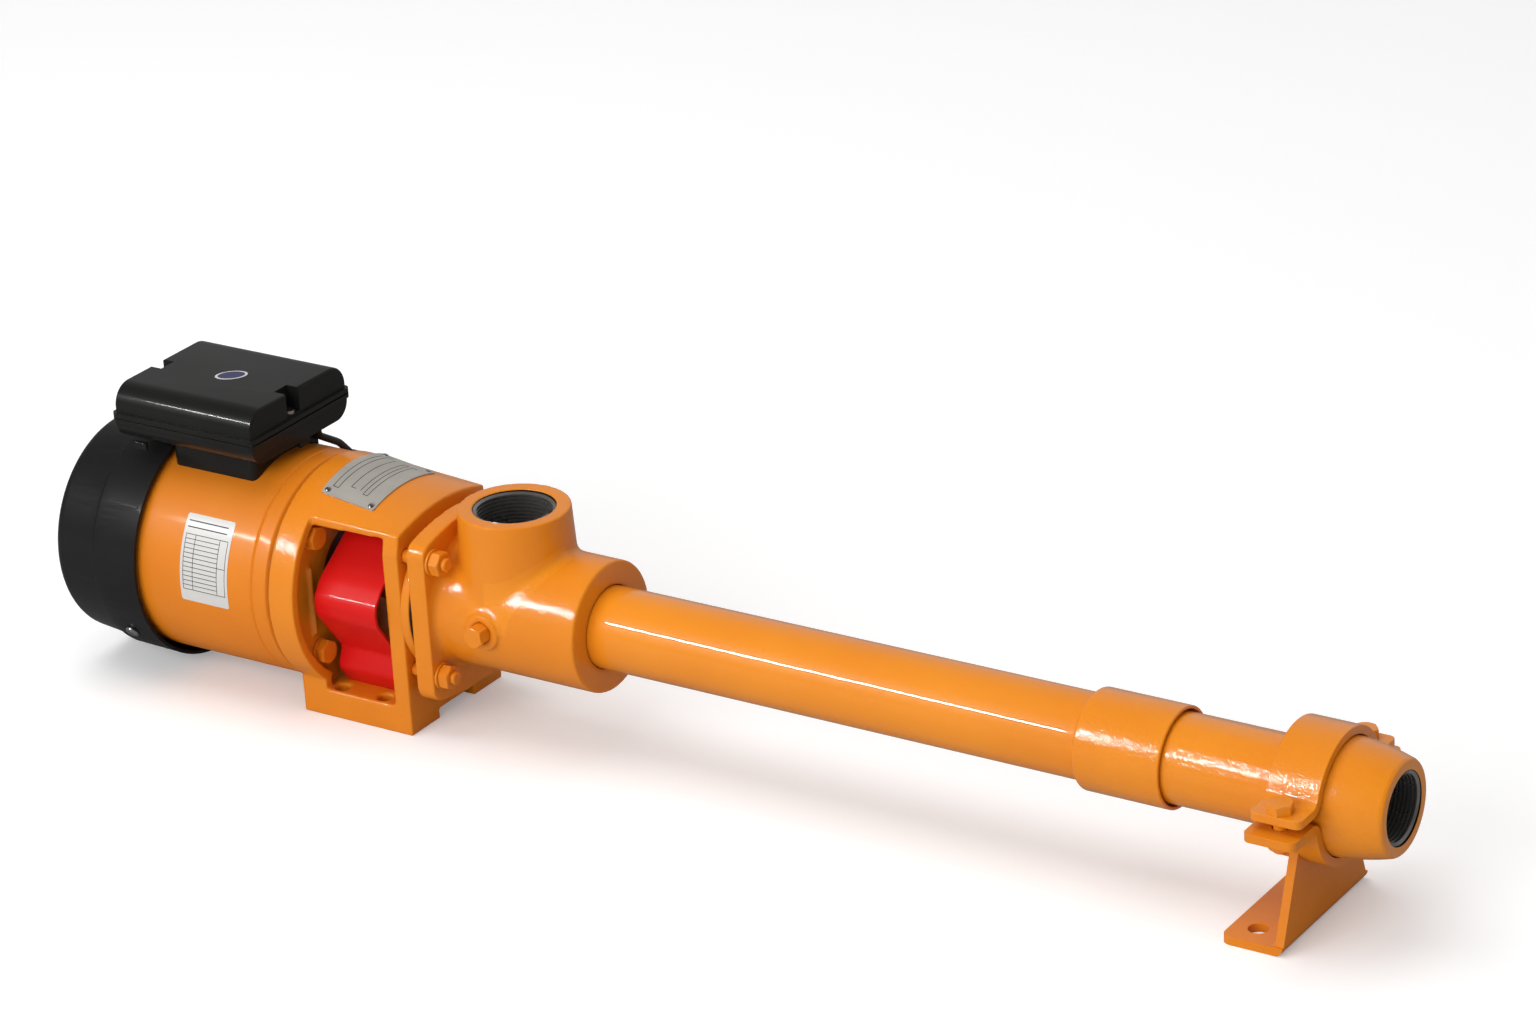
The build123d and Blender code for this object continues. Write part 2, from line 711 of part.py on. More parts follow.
def fan_cowl():
    step = cowl_front - cowl_step
    outside = turned((cowl_front, 0), (cowl_front, cowl_r), (step, cowl_r - cowl_taper), (step - 2.5, cowl_mid_r),
                     (cowl_rear, cowl_end_r), (cowl_rear, 0))
    back = outside.edges().filter_by(lambda e: abs(e.center().X - cowl_rear) < 0.1).sort_by(lambda e: e.length)[-1]
    outside = fillet(back, cowl_round)
    inside = turned((cowl_front, 0), (cowl_front, cowl_r - cowl_wall), (step, cowl_r - cowl_taper - cowl_wall),
                    (step - 2.5, cowl_mid_r - cowl_wall), (cowl_rear + cowl_wall, cowl_end_r - cowl_wall),
                    (cowl_rear + cowl_wall, 0))
    back = inside.edges().filter_by(lambda e: abs(e.center().X - cowl_rear - cowl_wall) < 0.1).sort_by(
        lambda e: e.length)[-1]
    cowl = outside - fillet(back, cowl_round - cowl_wall)
    slot = Pos((grille_in + grille_out) / 2, 0) * SlotOverall(grille_out - grille_in, grille_slot_width)
    slots = Sketch() + [Rot(0, 0, 360.0 * k / grille_slots) * slot for k in range(grille_slots)]
    cowl -= slab(cowl_rear, cowl_rear + cowl_wall, slots)
    for place in cowl_screw_places():
        cowl -= place * Pos(0, 0, cowl_r) * Cylinder(cowl_screw_r + slip, cowl_hole_depth)
    return cowl


# ---- drive line ----

def drive_shaft():
    rear = bracket_rear + shaft_nose - drive_socket
    hub_end = rear + drive_hub_length
    shaft = turned((rear, 0), (rear, drive_hub_r), (hub_end, drive_hub_r), (hub_end, drive_r),
                   (drive_nose - 6.0, drive_r), (drive_nose - 6.0, drive_collar_r),
                   (drive_nose - 6.0 + drive_collar, drive_collar_r), (drive_nose - 6.0 + drive_collar, drive_r),
                   (drive_nose, drive_r), (drive_nose, 0))
    shaft -= rod(rear, rear + drive_socket + 0.5, nose_shaft_r + slip)
    shaft -= block(rear, rear + drive_socket + 0.5, -key_width / 2, key_width / 2, 0, nose_shaft_r + 2.3)
    return shaft - rod(drive_nose - flex_socket, drive_nose, flex_r + slip)


def drive_key():
    front = bracket_rear + shaft_nose - 1.0
    return block(front - key_length, front, -key_width / 2, key_width / 2, nose_shaft_r - 3.0, nose_shaft_r + 2.0)


def water_thrower():
    middle = bracket_rear + shaft_nose - drive_socket + drive_hub_length + thrower_width / 2 + rub_gap
    lip = thrower_width / 2
    return turned((middle - lip, drive_r + slip), (middle - lip, drive_hub_r), (middle - 1.0, drive_hub_r),
                  (middle - 1.0, thrower_r), (middle + 1.0, thrower_r), (middle + 1.0, drive_hub_r),
                  (middle + lip, drive_hub_r), (middle + lip, drive_r + slip))


seal_face = bracket_front + seat_length + 2.0


def seal_seat():
    return turned((bracket_front, drive_r + 1.2), (bracket_front, seat_r), (seal_face - 2.0, seat_r),
                  (seal_face - 2.0, seat_r - 2.0), (seal_face, seat_r - 2.0), (seal_face, drive_r + 1.2))


def seal_head():
    rear = seal_face + rub_gap
    front = rear + seal_head_length
    return turned((rear, drive_r + slip), (rear, seat_r - 3.0), (rear + 2.0, seat_r - 3.0),
                  (rear + 2.0, seal_head_r), (front, seal_head_r), (front, drive_r + slip))


def seal_spring():
    rear = seal_face + rub_gap + seal_head_length + rub_gap + spring_wire
    front = drive_nose - 6.0 - rub_gap - spring_wire
    coil_r = spring_r - spring_wire
    path = Helix((front - rear) / spring_turns, front - rear, coil_r)
    start = Plane(origin=path @ 0, z_dir=path % 0)
    coil = sweep(start * Circle(spring_wire), path=path, is_frenet=True)
    return across(rear).location * coil.solid()


def flexible_shaft():
    rear = drive_nose - flex_socket + 1.0
    head = helix_rear - rotor_head
    front = head + flex_head_socket - 1.0
    rise = (head - drive_nose) * 0.2
    line = FilletPolyline((rear, 0), (drive_nose + rise, 0), (head - rise, eccentricity), (front, eccentricity),
                          radius=flex_bend_r)
    return sweep(across(rear) * Circle(flex_r), path=line)


# ---- terminal box ----

box_x0 = bracket_rear - box_rear
box_x1 = bracket_rear - box_front
neck_x1 = bracket_rear - neck_front
neck_x0 = neck_x1 - neck_length


def box_profile(half, low, high, round_low, round_high):
    outline = Pos(0, (low + high) / 2) * Rectangle(2 * half, high - low)
    lower = outline.vertices().filter_by(lambda v: v.Y < (low + high) / 2)
    upper = outline.vertices().filter_by(lambda v: v.Y > (low + high) / 2)
    if round_low:
        outline = fillet(lower, round_low)
    if round_high:
        outline = fillet(upper, round_high)
    return outline


def lip(z0, z1):
    edge = block(box_x0 - box_lip, box_x1 + box_lip, -box_half - box_lip, box_half + box_lip, z0, z1)
    return fillet(edge.edges().filter_by(Axis.Z), corner_r)


def box_inside(z0, z1):
    return block(box_x0 + box_wall, box_x1 - box_wall, -box_half + box_wall, box_half - box_wall, z0, z1)


def terminal_box_base():
    under_round = lid_round - 2.0
    tray = slab(box_x0, box_x1, box_profile(box_half, box_floor, box_rim, under_round, 0))
    tray += lip(box_rim - box_lip_height, box_rim)
    tray -= slab(box_x0 + box_wall, box_x1 - box_wall,
                 box_profile(box_half - box_wall, box_floor + box_wall, box_rim + 1.0, under_round - box_wall, 0))
    neck = block(neck_x0, neck_x1, -neck_half, neck_half, 0, box_floor)
    neck = fillet(neck.edges().filter_by(Axis.Z), corner_r)
    neck -= block(neck_x0 + box_wall, neck_x1 - box_wall, -neck_half + box_wall, neck_half - box_wall, 0, box_floor)
    neck -= rod(neck_x0, neck_x1, shell_r)
    base = tray + neck.solids().sort_by(Axis.Z)[-1]
    for x in lid_screw_xs():
        base += post(x, lid_screw_y, box_floor + 1.0, box_rim, lid_screw_r + 2.0)
        base -= post(x, lid_screw_y, box_floor + 2.0, box_rim, lid_screw_r + slip)
    base -= post(-lead_x, lead_y, box_floor, box_floor + box_wall, lead_r + slip)
    return base - extrude(gland_seat() * Circle(gland_r + slip), -box_wall)


def gland_seat():
    return Plane(origin=(gland_x, neck_half, gland_z), x_dir=(1, 0, 0), z_dir=(0, 1, 0))


def lid_screw_xs():
    inset = lid_pocket_depth / 2
    return [box_x0 + inset, box_x1 - inset]


def terminal_box_gasket():
    edge = lip(box_rim, box_rim + box_gasket)
    edge = edge & block(box_x0 - box_lip / 2, box_x1 + box_lip / 2, -box_half - box_lip / 2, box_half + box_lip / 2,
                        box_rim, box_rim + box_gasket)
    edge -= box_inside(box_rim, box_rim + box_gasket)
    return edge


def terminal_box_lid():
    low = box_rim + box_gasket
    lid = slab(box_x0, box_x1, box_profile(box_half, low, lid_top, 0, lid_round))
    ends = lid.edges().filter_by(lambda e: min(abs(e.center().X - box_x0), abs(e.center().X - box_x1)) < 0.1
                                 and e.center().Z > low + 1.0)
    lid = fillet(ends, 1.5)
    lid += lip(low, low + box_lip_height)
    lid -= slab(box_x0 + box_wall, box_x1 - box_wall,
                box_profile(box_half - box_wall, low - 1.0, lid_top - box_wall, 0, lid_round - box_wall))
    half = lid_pocket / 2
    for x, side in zip(lid_screw_xs(), (-1, 1)):
        end = box_x0 if side < 0 else box_x1
        inner = end - side * lid_pocket_depth
        wall = inner - side * box_wall
        lid += block(*sorted((wall, end)), lid_screw_y - half - box_wall, lid_screw_y + half + box_wall, low,
                     lid_top - 1.0)
        lid -= block(*sorted((inner, end + side)), lid_screw_y - half, lid_screw_y + half, lid_pocket_floor, lid_top)
        lid -= post(x, lid_screw_y, low, lid_pocket_floor, lid_screw_r + slip)
    return lid


def lid_screws():
    head = lid_screw_r + 1.8
    return group([post(x, lid_screw_y, lid_pocket_floor, lid_pocket_floor + 2.2, head)
                  + post(x, lid_screw_y, box_floor + 3.0, lid_pocket_floor, lid_screw_r) for x in lid_screw_xs()])


def capacitor():
    x0 = box_x0 + box_wall + capacitor_inset
    z = box_floor + box_wall + rub_gap + capacitor_r
    can = rod(x0, x0 + capacitor_length, capacitor_r, capacitor_y, z)
    tabs = block(x0 + capacitor_length, x0 + capacitor_length + 6.0, capacitor_y - 5.0, capacitor_y - 3.0, z - 3, z + 3)
    return can + tabs + Pos(0, 8.0, 0) * tabs


def terminal_block():
    z0 = box_floor + box_wall
    body = block(neck_x0, neck_x0 + terminal_length, terminal_y, terminal_y + terminal_width, z0, z0 + 9.0)
    step = terminal_length / terminal_ways
    for k in range(terminal_ways):
        body -= post(neck_x0 + step * (k + 0.5), terminal_y + terminal_width / 2, z0 + 5.0, z0 + 9.0, 2.6)
    return body


def cable_gland():
    gland = extrude(gland_seat() * Circle(gland_r), -(box_wall + 1.0))
    gland += extrude(gland_seat() * hexagon(gland_flats), gland_collar)
    dome_middle = gland_collar + gland_dome / 2
    return gland + gland_seat().location * Pos(0, 0, dome_middle) * Cone(gland_r, gland_r - 2.0, gland_dome)


# ---- motor lead, held from the box to the boot on the shell ----

def lead_path():
    route = [(lead_y, box_floor + box_wall - 0.2), (lead_y, box_floor - lead_drop), (42.5, 56.5), (56.5, 41.5)]
    return FilletPolyline(*[(-lead_x, y, z) for y, z in route], radius=[lead_bend_r, lead_sweep_r])


def motor_lead():
    path = lead_path()
    start = Plane(origin=path @ 0, z_dir=path % 0)
    return sweep(start * Circle(lead_r), path=path)


def lead_boot():
    body = block(-lead_x - boot_width / 2, -lead_x + boot_width / 2, -boot_length / 2, boot_length / 2, 0,
                 shell_r + boot_height)
    body = fillet(body.edges().filter_by(Axis.Z), 3.0)
    body = Rot(boot_angle - 90.0, 0, 0) * body
    body -= rod(-lead_x - boot_width, -lead_x + boot_width, shell_r)
    path = lead_path()
    bore = Plane(origin=path @ 0, z_dir=path % 0)
    return body - sweep(bore * Circle(lead_r + slip), path=path)


def cowl_screws():
    length = cowl_wall + cowl_taper + screw_grip - 1.0
    return group([place * (Pos(0, 0, cowl_r + 1.0) * Cylinder(cowl_screw_head_r, 2.0)
                           + Pos(0, 0, cowl_r - length / 2) * Cylinder(cowl_screw_r, length))
                  for place in cowl_screw_places()])


# ---- table of pieces, one file each ----

pieces = {
    "lantern_bracket": lantern_bracket,
    "shaft_guard": shaft_guard,
    "seal_plate": seal_plate,
    "flange_gasket": flange_gasket,
    "pump_housing": pump_housing,
    "side_plug": side_plug,
    "housing_oring": housing_oring,
    "flange_studs": flange_studs,
    "flange_washers": flange_washers,
    "flange_nuts": flange_nuts,
    "motor_bolts": motor_bolts,
    "motor_bolt_washers": motor_bolt_washers,
    "stator_tube": stator_tube,
    "stator_rubber": stator_rubber,
    "helical_rotor": helical_rotor,
    "coupling_sleeve": coupling_sleeve,
    "discharge_nozzle": discharge_nozzle,
    "clamp_strap": clamp_strap,
    "clamp_saddle": clamp_saddle,
    "clamp_bolts": clamp_bolts,
    "clamp_nuts": clamp_nuts,
    "support_foot": support_foot,
    "motor_shell": motor_shell,
    "drive_end_shield": drive_end_shield,
    "fan_end_shield": fan_end_shield,
    "drive_end_bearing": drive_end_bearing,
    "fan_end_bearing": fan_end_bearing,
    "stator_core": stator_core,
    "motor_windings": motor_windings,
    "rotor_core": rotor_core,
    "motor_shaft": motor_shaft,
    "cooling_fan": cooling_fan,
    "fan_cowl": fan_cowl,
    "drive_shaft": drive_shaft,
    "drive_key": drive_key,
    "water_thrower": water_thrower,
    "seal_seat": seal_seat,
    "seal_head": seal_head,
    "seal_spring": seal_spring,
    "flexible_shaft": flexible_shaft,
    "terminal_box_base": terminal_box_base,
    "terminal_box_gasket": terminal_box_gasket,
    "terminal_box_lid": terminal_box_lid,
    "lid_screws": lid_screws,
    "capacitor": capacitor,
    "terminal_block": terminal_block,
    "cable_gland": cable_gland,
    "motor_lead": motor_lead,
    "lead_boot": lead_boot,
    "cowl_screws": cowl_screws,
}

os.makedirs("parts", exist_ok=True)
for name, make in pieces.items():
    shape = Pos(0, 0, axis_height) * make()
    export_step(shape, f"parts/{name}.step")
    print(name, round(shape.volume))
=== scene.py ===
import bpy, bmesh, math
from mathutils import Matrix, Vector
from mathutils.bvhtree import BVHTree


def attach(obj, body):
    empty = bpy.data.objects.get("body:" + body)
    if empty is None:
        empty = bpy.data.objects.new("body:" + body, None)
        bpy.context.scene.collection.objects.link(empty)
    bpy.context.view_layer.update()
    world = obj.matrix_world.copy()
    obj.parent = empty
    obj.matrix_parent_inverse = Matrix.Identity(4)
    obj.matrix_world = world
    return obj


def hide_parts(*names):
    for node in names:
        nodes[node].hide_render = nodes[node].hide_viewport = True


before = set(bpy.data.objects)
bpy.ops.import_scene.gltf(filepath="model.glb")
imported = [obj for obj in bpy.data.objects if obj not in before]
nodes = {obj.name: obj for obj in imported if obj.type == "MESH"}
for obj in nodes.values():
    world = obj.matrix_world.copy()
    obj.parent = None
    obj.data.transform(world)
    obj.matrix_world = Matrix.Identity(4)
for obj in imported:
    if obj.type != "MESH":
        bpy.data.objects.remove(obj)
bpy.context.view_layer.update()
scene = bpy.context.scene
mm = 0.001
axisHeight = 75.0  # floor to shaft axis, mm

# ---- node tools ----


def newGroup(name, inputs, outputs):  # a shader group with its sockets, its input and its output node
    tree = bpy.data.node_groups.new(name, "ShaderNodeTree")
    for label, kind, value in inputs:
        socket = tree.interface.new_socket(name=label, in_out="INPUT", socket_type=kind)
        socket.default_value = value
    for label, kind in outputs:
        tree.interface.new_socket(name=label, in_out="OUTPUT", socket_type=kind)
    return tree, tree.nodes.new("NodeGroupInput"), tree.nodes.new("NodeGroupOutput")


def addNode(tree, kind, settings=None, inputs=None):  # links the inputs that are sockets, sets the rest
    node = tree.nodes.new(kind)
    for key, value in (settings or {}).items():
        setattr(node, key, value)
    for key, value in (inputs or {}).items():
        if isinstance(value, bpy.types.NodeSocket):
            tree.links.new(value, node.inputs[key])
        else:
            node.inputs[key].default_value = value
    return node


def mathNode(tree, operation, a, b):
    return addNode(tree, "ShaderNodeMath", {"operation": operation}, {0: a, 1: b}).outputs[0]


def mixNumber(tree, factor, a, b):
    node = addNode(tree, "ShaderNodeMix", {"data_type": "FLOAT"}, {"Factor": factor, "A": a, "B": b})
    return node.outputs["Result"]


def mixColour(tree, factor, a, b):
    node = addNode(tree, "ShaderNodeMix", {"data_type": "RGBA"}, {"Factor": factor, "A": a, "B": b})
    return node.outputs["Result"]


def noise(tree, place, scale, detail, roughness=0.5):
    inputs = {"Vector": place, "Scale": scale, "Detail": detail, "Roughness": roughness}
    return addNode(tree, "ShaderNodeTexNoise", None, inputs).outputs["Fac"]


def ramp(tree, value, low, high, start=0.0, end=1.0, settings=None):
    inputs = {"Value": value, "From Min": low, "From Max": high, "To Min": start, "To Max": end}
    return addNode(tree, "ShaderNodeMapRange", settings, inputs).outputs["Result"]


def linear(red, green, blue):  # a screen colour, 0 to 255, as the shader wants it
    def one(value):
        value /= 255
        return value / 12.92 if value <= 0.04045 else ((value + 0.055) / 1.055) ** 2.4
    return (one(red), one(green), one(blue), 1.0)


# lumps of thick paint over a casting: a broad swell, the lumps and a fine grain, as one height
lumps, lumpsIn, lumpsOut = newGroup("paintLumps", [
    ("Swell", "NodeSocketFloat", 0.2), ("Lumps", "NodeSocketFloat", 0.5),
    ("Lump Scale", "NodeSocketFloat", 420.0), ("Grain", "NodeSocketFloat", 0.2)],
    [("Height", "NodeSocketFloat")])
objectSpace = addNode(lumps, "ShaderNodeTexCoord").outputs["Object"]
swell = noise(lumps, objectSpace, 60.0, 2.0)
lump = noise(lumps, objectSpace, lumpsIn.outputs["Lump Scale"], 3.0, 0.45)
grain = noise(lumps, objectSpace, 1900.0, 2.0)
height = mathNode(lumps, "MULTIPLY", swell, lumpsIn.outputs["Swell"])
height = mathNode(lumps, "ADD", height, mathNode(lumps, "MULTIPLY", lump, lumpsIn.outputs["Lumps"]))
height = mathNode(lumps, "ADD", height, mathNode(lumps, "MULTIPLY", grain, lumpsIn.outputs["Grain"]))
lumps.links.new(height, lumpsOut.inputs["Height"])

# slow drift between two tones, with small specks of a third
drift, driftIn, driftOut = newGroup("toneDrift", [
    ("Tone A", "NodeSocketColor", (0.5, 0.5, 0.5, 1)), ("Tone B", "NodeSocketColor", (0.4, 0.4, 0.4, 1)),
    ("Speck", "NodeSocketColor", (0.2, 0.2, 0.2, 1)), ("Scale", "NodeSocketFloat", 14.0),
    ("Speck Amount", "NodeSocketFloat", 0.3)],
    [("Color", "NodeSocketColor"), ("Roughness Drift", "NodeSocketFloat")])
objectSpace = addNode(drift, "ShaderNodeTexCoord").outputs["Object"]
slow = noise(drift, objectSpace, driftIn.outputs["Scale"], 4.0)
blend = ramp(drift, slow, 0.35, 0.65)
tone = mixColour(drift, blend, driftIn.outputs["Tone A"], driftIn.outputs["Tone B"])
speck = ramp(drift, noise(drift, objectSpace, 330.0, 1.0), 0.74, 0.8)
speck = mathNode(drift, "MULTIPLY", speck, driftIn.outputs["Speck Amount"])
drift.links.new(mixColour(drift, speck, tone, driftIn.outputs["Speck"]), driftOut.inputs["Color"])
drift.links.new(slow, driftOut.inputs["Roughness Drift"])

# lathe or brush lines across one axis
strokes, strokesIn, strokesOut = newGroup("toolStrokes", [
    ("Stretch", "NodeSocketVector", (1.0, 1.0, 1.0)), ("Scale", "NodeSocketFloat", 900.0)],
    [("Height", "NodeSocketFloat")])
objectSpace = addNode(strokes, "ShaderNodeTexCoord").outputs["Object"]
stretched = addNode(strokes, "ShaderNodeVectorMath", {"operation": "MULTIPLY"},
                    {0: objectSpace, 1: strokesIn.outputs["Stretch"]}).outputs["Vector"]
line = noise(strokes, stretched, strokesIn.outputs["Scale"], 3.0)
strokes.links.new(line, strokesOut.inputs["Height"])


def shader(name, roughness, metallic=0.0, coat=0.0, coatRoughness=0.05, specular=0.5):
    material = bpy.data.materials.new(name)
    material.use_nodes = True
    tree = material.node_tree
    bsdf = tree.nodes["Principled BSDF"]
    bsdf.inputs["Roughness"].default_value = roughness
    bsdf.inputs["Metallic"].default_value = metallic
    bsdf.inputs["Coat Weight"].default_value = coat
    bsdf.inputs["Coat Roughness"].default_value = coatRoughness
    bsdf.inputs["Specular IOR Level"].default_value = specular
    return material, tree, bsdf


def useGroup(tree, group, inputs):
    node = tree.nodes.new("ShaderNodeGroup")
    node.node_tree = group
    for key, value in inputs.items():
        node.inputs[key].default_value = value
    return node


def painted(name, tones, roughness, coat, coatRoughness, bump, surface, speckAmount=0.25, specular=0.3):
    material, tree, bsdf = shader(name, roughness, coat=coat, coatRoughness=coatRoughness, specular=specular)
    toneA, toneB, speckTone = (linear(*tone) for tone in tones)
    colour = useGroup(tree, drift, {"Tone A": toneA, "Tone B": toneB, "Speck": speckTone,
                                    "Speck Amount": speckAmount})
    tree.links.new(colour.outputs["Color"], bsdf.inputs["Base Color"])
    relief = useGroup(tree, lumps, surface)
    bumpNode = addNode(tree, "ShaderNodeBump", None, {"Strength": 1.0, "Distance": bump * mm,
                                                      "Height": relief.outputs["Height"]})
    tree.links.new(bumpNode.outputs["Normal"], bsdf.inputs["Normal"])
    tree.links.new(bumpNode.outputs["Normal"], bsdf.inputs["Coat Normal"])
    return material


orangeTones = [(238, 143, 26), (233, 137, 23), (212, 112, 16)]
castTones = [(231, 136, 26), (226, 130, 23), (206, 106, 15)]
shellTones = [(226, 130, 26), (221, 124, 23), (200, 102, 15)]
enamelCast = painted("orangeEnamelCast", castTones, 0.42, 0.65, 0.05, 0.3,
                     {"Swell": 1.4, "Lumps": 0.5, "Lump Scale": 620.0, "Grain": 0.05}, specular=0.15)
enamelSmooth = painted("orangeEnamelSmooth", orangeTones, 0.4, 0.9, 0.03, 0.1,
                       {"Swell": 0.5, "Lumps": 0.06, "Lump Scale": 500.0, "Grain": 0.02}, specular=0.2)
enamelShell = painted("orangeEnamelShell", shellTones, 0.45, 0.16, 0.12, 0.1,
                      {"Swell": 0.6, "Lumps": 0.14, "Lump Scale": 500.0, "Grain": 0.05}, specular=0.2)
enamelLumpy = painted("orangeEnamelLumpy", orangeTones, 0.38, 1.0, 0.03, 0.26,
                      {"Swell": 0.2, "Lumps": 1.0, "Lump Scale": 640.0, "Grain": 0.02}, specular=0.15)
redEnamel = painted("redEnamel", [(216, 24, 22), (208, 20, 19), (172, 12, 12)], 0.4, 0.18, 0.06, 0.1,
                    {"Swell": 0.6, "Lumps": 0.08, "Lump Scale": 300.0, "Grain": 0.02}, specular=0.12)
blackEnamel = painted("blackEnamel", [(27, 27, 28), (31, 31, 32), (55, 55, 57)], 0.42, 0.14, 0.04, 0.06,
                      {"Swell": 0.3, "Lumps": 0.3, "Lump Scale": 1000.0, "Grain": 0.3}, 0.12, 0.1)
blackPlastic = painted("blackPlastic", [(25, 25, 24), (29, 29, 28), (58, 57, 56)], 0.36, 0.2, 0.04, 0.03,
                       {"Swell": 0.6, "Lumps": 0.3, "Lump Scale": 1300.0, "Grain": 0.5}, 0.1, 0.1)
darkRubber = painted("darkRubber", [(30, 30, 30), (36, 36, 35), (55, 55, 52)], 0.7, 0.0, 0.3, 0.1,
                     {"Swell": 0.4, "Lumps": 0.5, "Lump Scale": 900.0, "Grain": 0.5})
leadSheath = painted("leadSheath", [(24, 24, 25), (28, 28, 29), (50, 50, 50)], 0.42, 0.1, 0.3, 0.05,
                     {"Swell": 0.3, "Lumps": 0.4, "Lump Scale": 1200.0, "Grain": 0.2})
sealCarbon = painted("sealCarbon", [(38, 38, 40), (46, 46, 48), (70, 70, 72)], 0.4, 0.0, 0.3, 0.04,
                     {"Swell": 0.3, "Lumps": 0.3, "Lump Scale": 900.0, "Grain": 0.4})
sealCeramic = painted("sealCeramic", [(226, 222, 210), (218, 212, 198), (180, 172, 155)], 0.3, 0.2, 0.2, 0.03,
                      {"Swell": 0.3, "Lumps": 0.2, "Lump Scale": 900.0, "Grain": 0.3})
capacitorCan = painted("capacitorCan", [(214, 213, 207), (206, 204, 196), (170, 168, 160)],
                       0.35, 0.2, 0.2, 0.05, {"Swell": 0.5, "Lumps": 0.3, "Lump Scale": 700.0, "Grain": 0.2})
terminalMoulding = painted("terminalMoulding", [(150, 138, 112), (140, 128, 102), (100, 90, 70)],
                           0.5, 0.1, 0.3, 0.05,
                           {"Swell": 0.5, "Lumps": 0.3, "Lump Scale": 700.0, "Grain": 0.4})
labelFilm = painted("labelFilm", [(212, 210, 207), (206, 204, 201), (186, 184, 180)], 0.45, 0.2, 0.2, 0.02,
                    {"Swell": 0.6, "Lumps": 0.1, "Lump Scale": 400.0, "Grain": 0.1}, 0.1)
printInk = painted("printInk", [(58, 58, 60), (66, 66, 68), (90, 90, 90)], 0.6, 0.0, 0.3, 0.01,
                   {"Swell": 0.1, "Lumps": 0.2, "Lump Scale": 900.0, "Grain": 0.2})
stickerBlue = painted("stickerBlue", [(38, 42, 92), (34, 36, 84), (60, 60, 110)], 0.4, 0.3, 0.2, 0.01,
                      {"Swell": 0.2, "Lumps": 0.1, "Lump Scale": 900.0, "Grain": 0.1})
print("paints and plastics made")


def machined(name, tones, roughness, bump, stretch, scale, metallic=1.0):
    material, tree, bsdf = shader(name, roughness, metallic=metallic)
    toneA, toneB, speckTone = (linear(*tone) for tone in tones)
    colour = useGroup(tree, drift, {"Tone A": toneA, "Tone B": toneB, "Speck": speckTone, "Scale": 40.0})
    tree.links.new(colour.outputs["Color"], bsdf.inputs["Base Color"])
    spread = ramp(tree, colour.outputs["Roughness Drift"], 0.0, 1.0, roughness - 0.06, roughness + 0.1)
    tree.links.new(spread, bsdf.inputs["Roughness"])
    relief = useGroup(tree, strokes, {"Stretch": stretch, "Scale": scale})
    bumpNode = addNode(tree, "ShaderNodeBump", None, {"Strength": 0.6, "Distance": bump * mm,
                                                      "Height": relief.outputs["Height"]})
    tree.links.new(bumpNode.outputs["Normal"], bsdf.inputs["Normal"])
    return material


threadIron = machined("threadIron", [(156, 154, 151), (132, 130, 127), (170, 166, 160)],
                      0.26, 0.05, (1, 1, 1), 700.0, 0.8)
# unpainted iron for the insides of the bores; its very dark tone is partly painted shade deep in the bores
rawIronWithBoreShade = machined("rawIronWithBoreShade", [(48, 46, 44), (38, 36, 34), (70, 66, 60)],
                   0.55, 0.1, (1, 1, 1), 500.0)
shaftSteel = machined("shaftSteel", [(178, 178, 182), (160, 160, 165), (120, 118, 115)],
                      0.26, 0.02, (1, 0.05, 0.05), 2200.0)
bearingSteel = machined("bearingSteel", [(186, 186, 190), (172, 172, 176), (130, 130, 130)],
                        0.2, 0.01, (1, 0.05, 0.05), 2200.0)
coreSteel = machined("coreSteel", [(104, 104, 108), (90, 90, 94), (70, 64, 58)],
                     0.42, 0.08, (1, 0.01, 0.01), 1800.0)
castAluminium = machined("castAluminium", [(168, 169, 171), (150, 151, 154), (110, 110, 112)],
                         0.45, 0.08, (1, 1, 1), 700.0)
platedRotor = machined("platedRotor", [(205, 206, 210), (196, 197, 202), (150, 150, 155)],
                       0.12, 0.01, (1, 0.2, 0.2), 900.0)
copperWinding = machined("copperWinding", [(168, 88, 44), (146, 72, 34), (90, 44, 22)],
                         0.35, 0.25, (1, 0.05, 0.05), 1300.0)
platedScrew = machined("platedScrew", [(196, 196, 196), (180, 180, 178), (130, 128, 120)],
                       0.28, 0.02, (1, 1, 1), 900.0)
plateMetal = machined("plateMetal", [(186, 181, 172), (174, 169, 160), (130, 126, 118)],
                      0.42, 0.02, (1, 0.06, 1), 1500.0, 0.3)
print("metals made")

# ---- mesh tools, all sizes in mm about the floor origin ----


def at(x, y, z):
    return Vector((x, y, z)) * mm


def finish(bm, name, materials, stands=(), edge=0.0, sharp=32, turnOut=True):
    # makes the piece: edge is the width of its rounded edges, stands are the CAD nodes it stands for
    if turnOut:
        bmesh.ops.recalc_face_normals(bm, faces=bm.faces)
    mesh = bpy.data.meshes.new(name)
    bm.to_mesh(mesh)
    bm.free()
    piece = bpy.data.objects.new(name, mesh)
    scene.collection.objects.link(piece)
    for material in materials if isinstance(materials, list) else [materials]:
        mesh.materials.append(material)
    mesh.polygons.foreach_set("use_smooth", [True] * len(mesh.polygons))
    mesh.set_sharp_from_angle(angle=math.radians(sharp))
    if edge:
        rounded = piece.modifiers.new("roundedEdges", "BEVEL")
        rounded.width = edge * mm
        rounded.segments = 3
        rounded.limit_method = "ANGLE"
        rounded.angle_limit = math.radians(sharp)
        rounded.harden_normals = True
        rounded.miter_outer = "MITER_ARC"
    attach(piece, "pump_body")
    if stands:
        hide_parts(*stands)


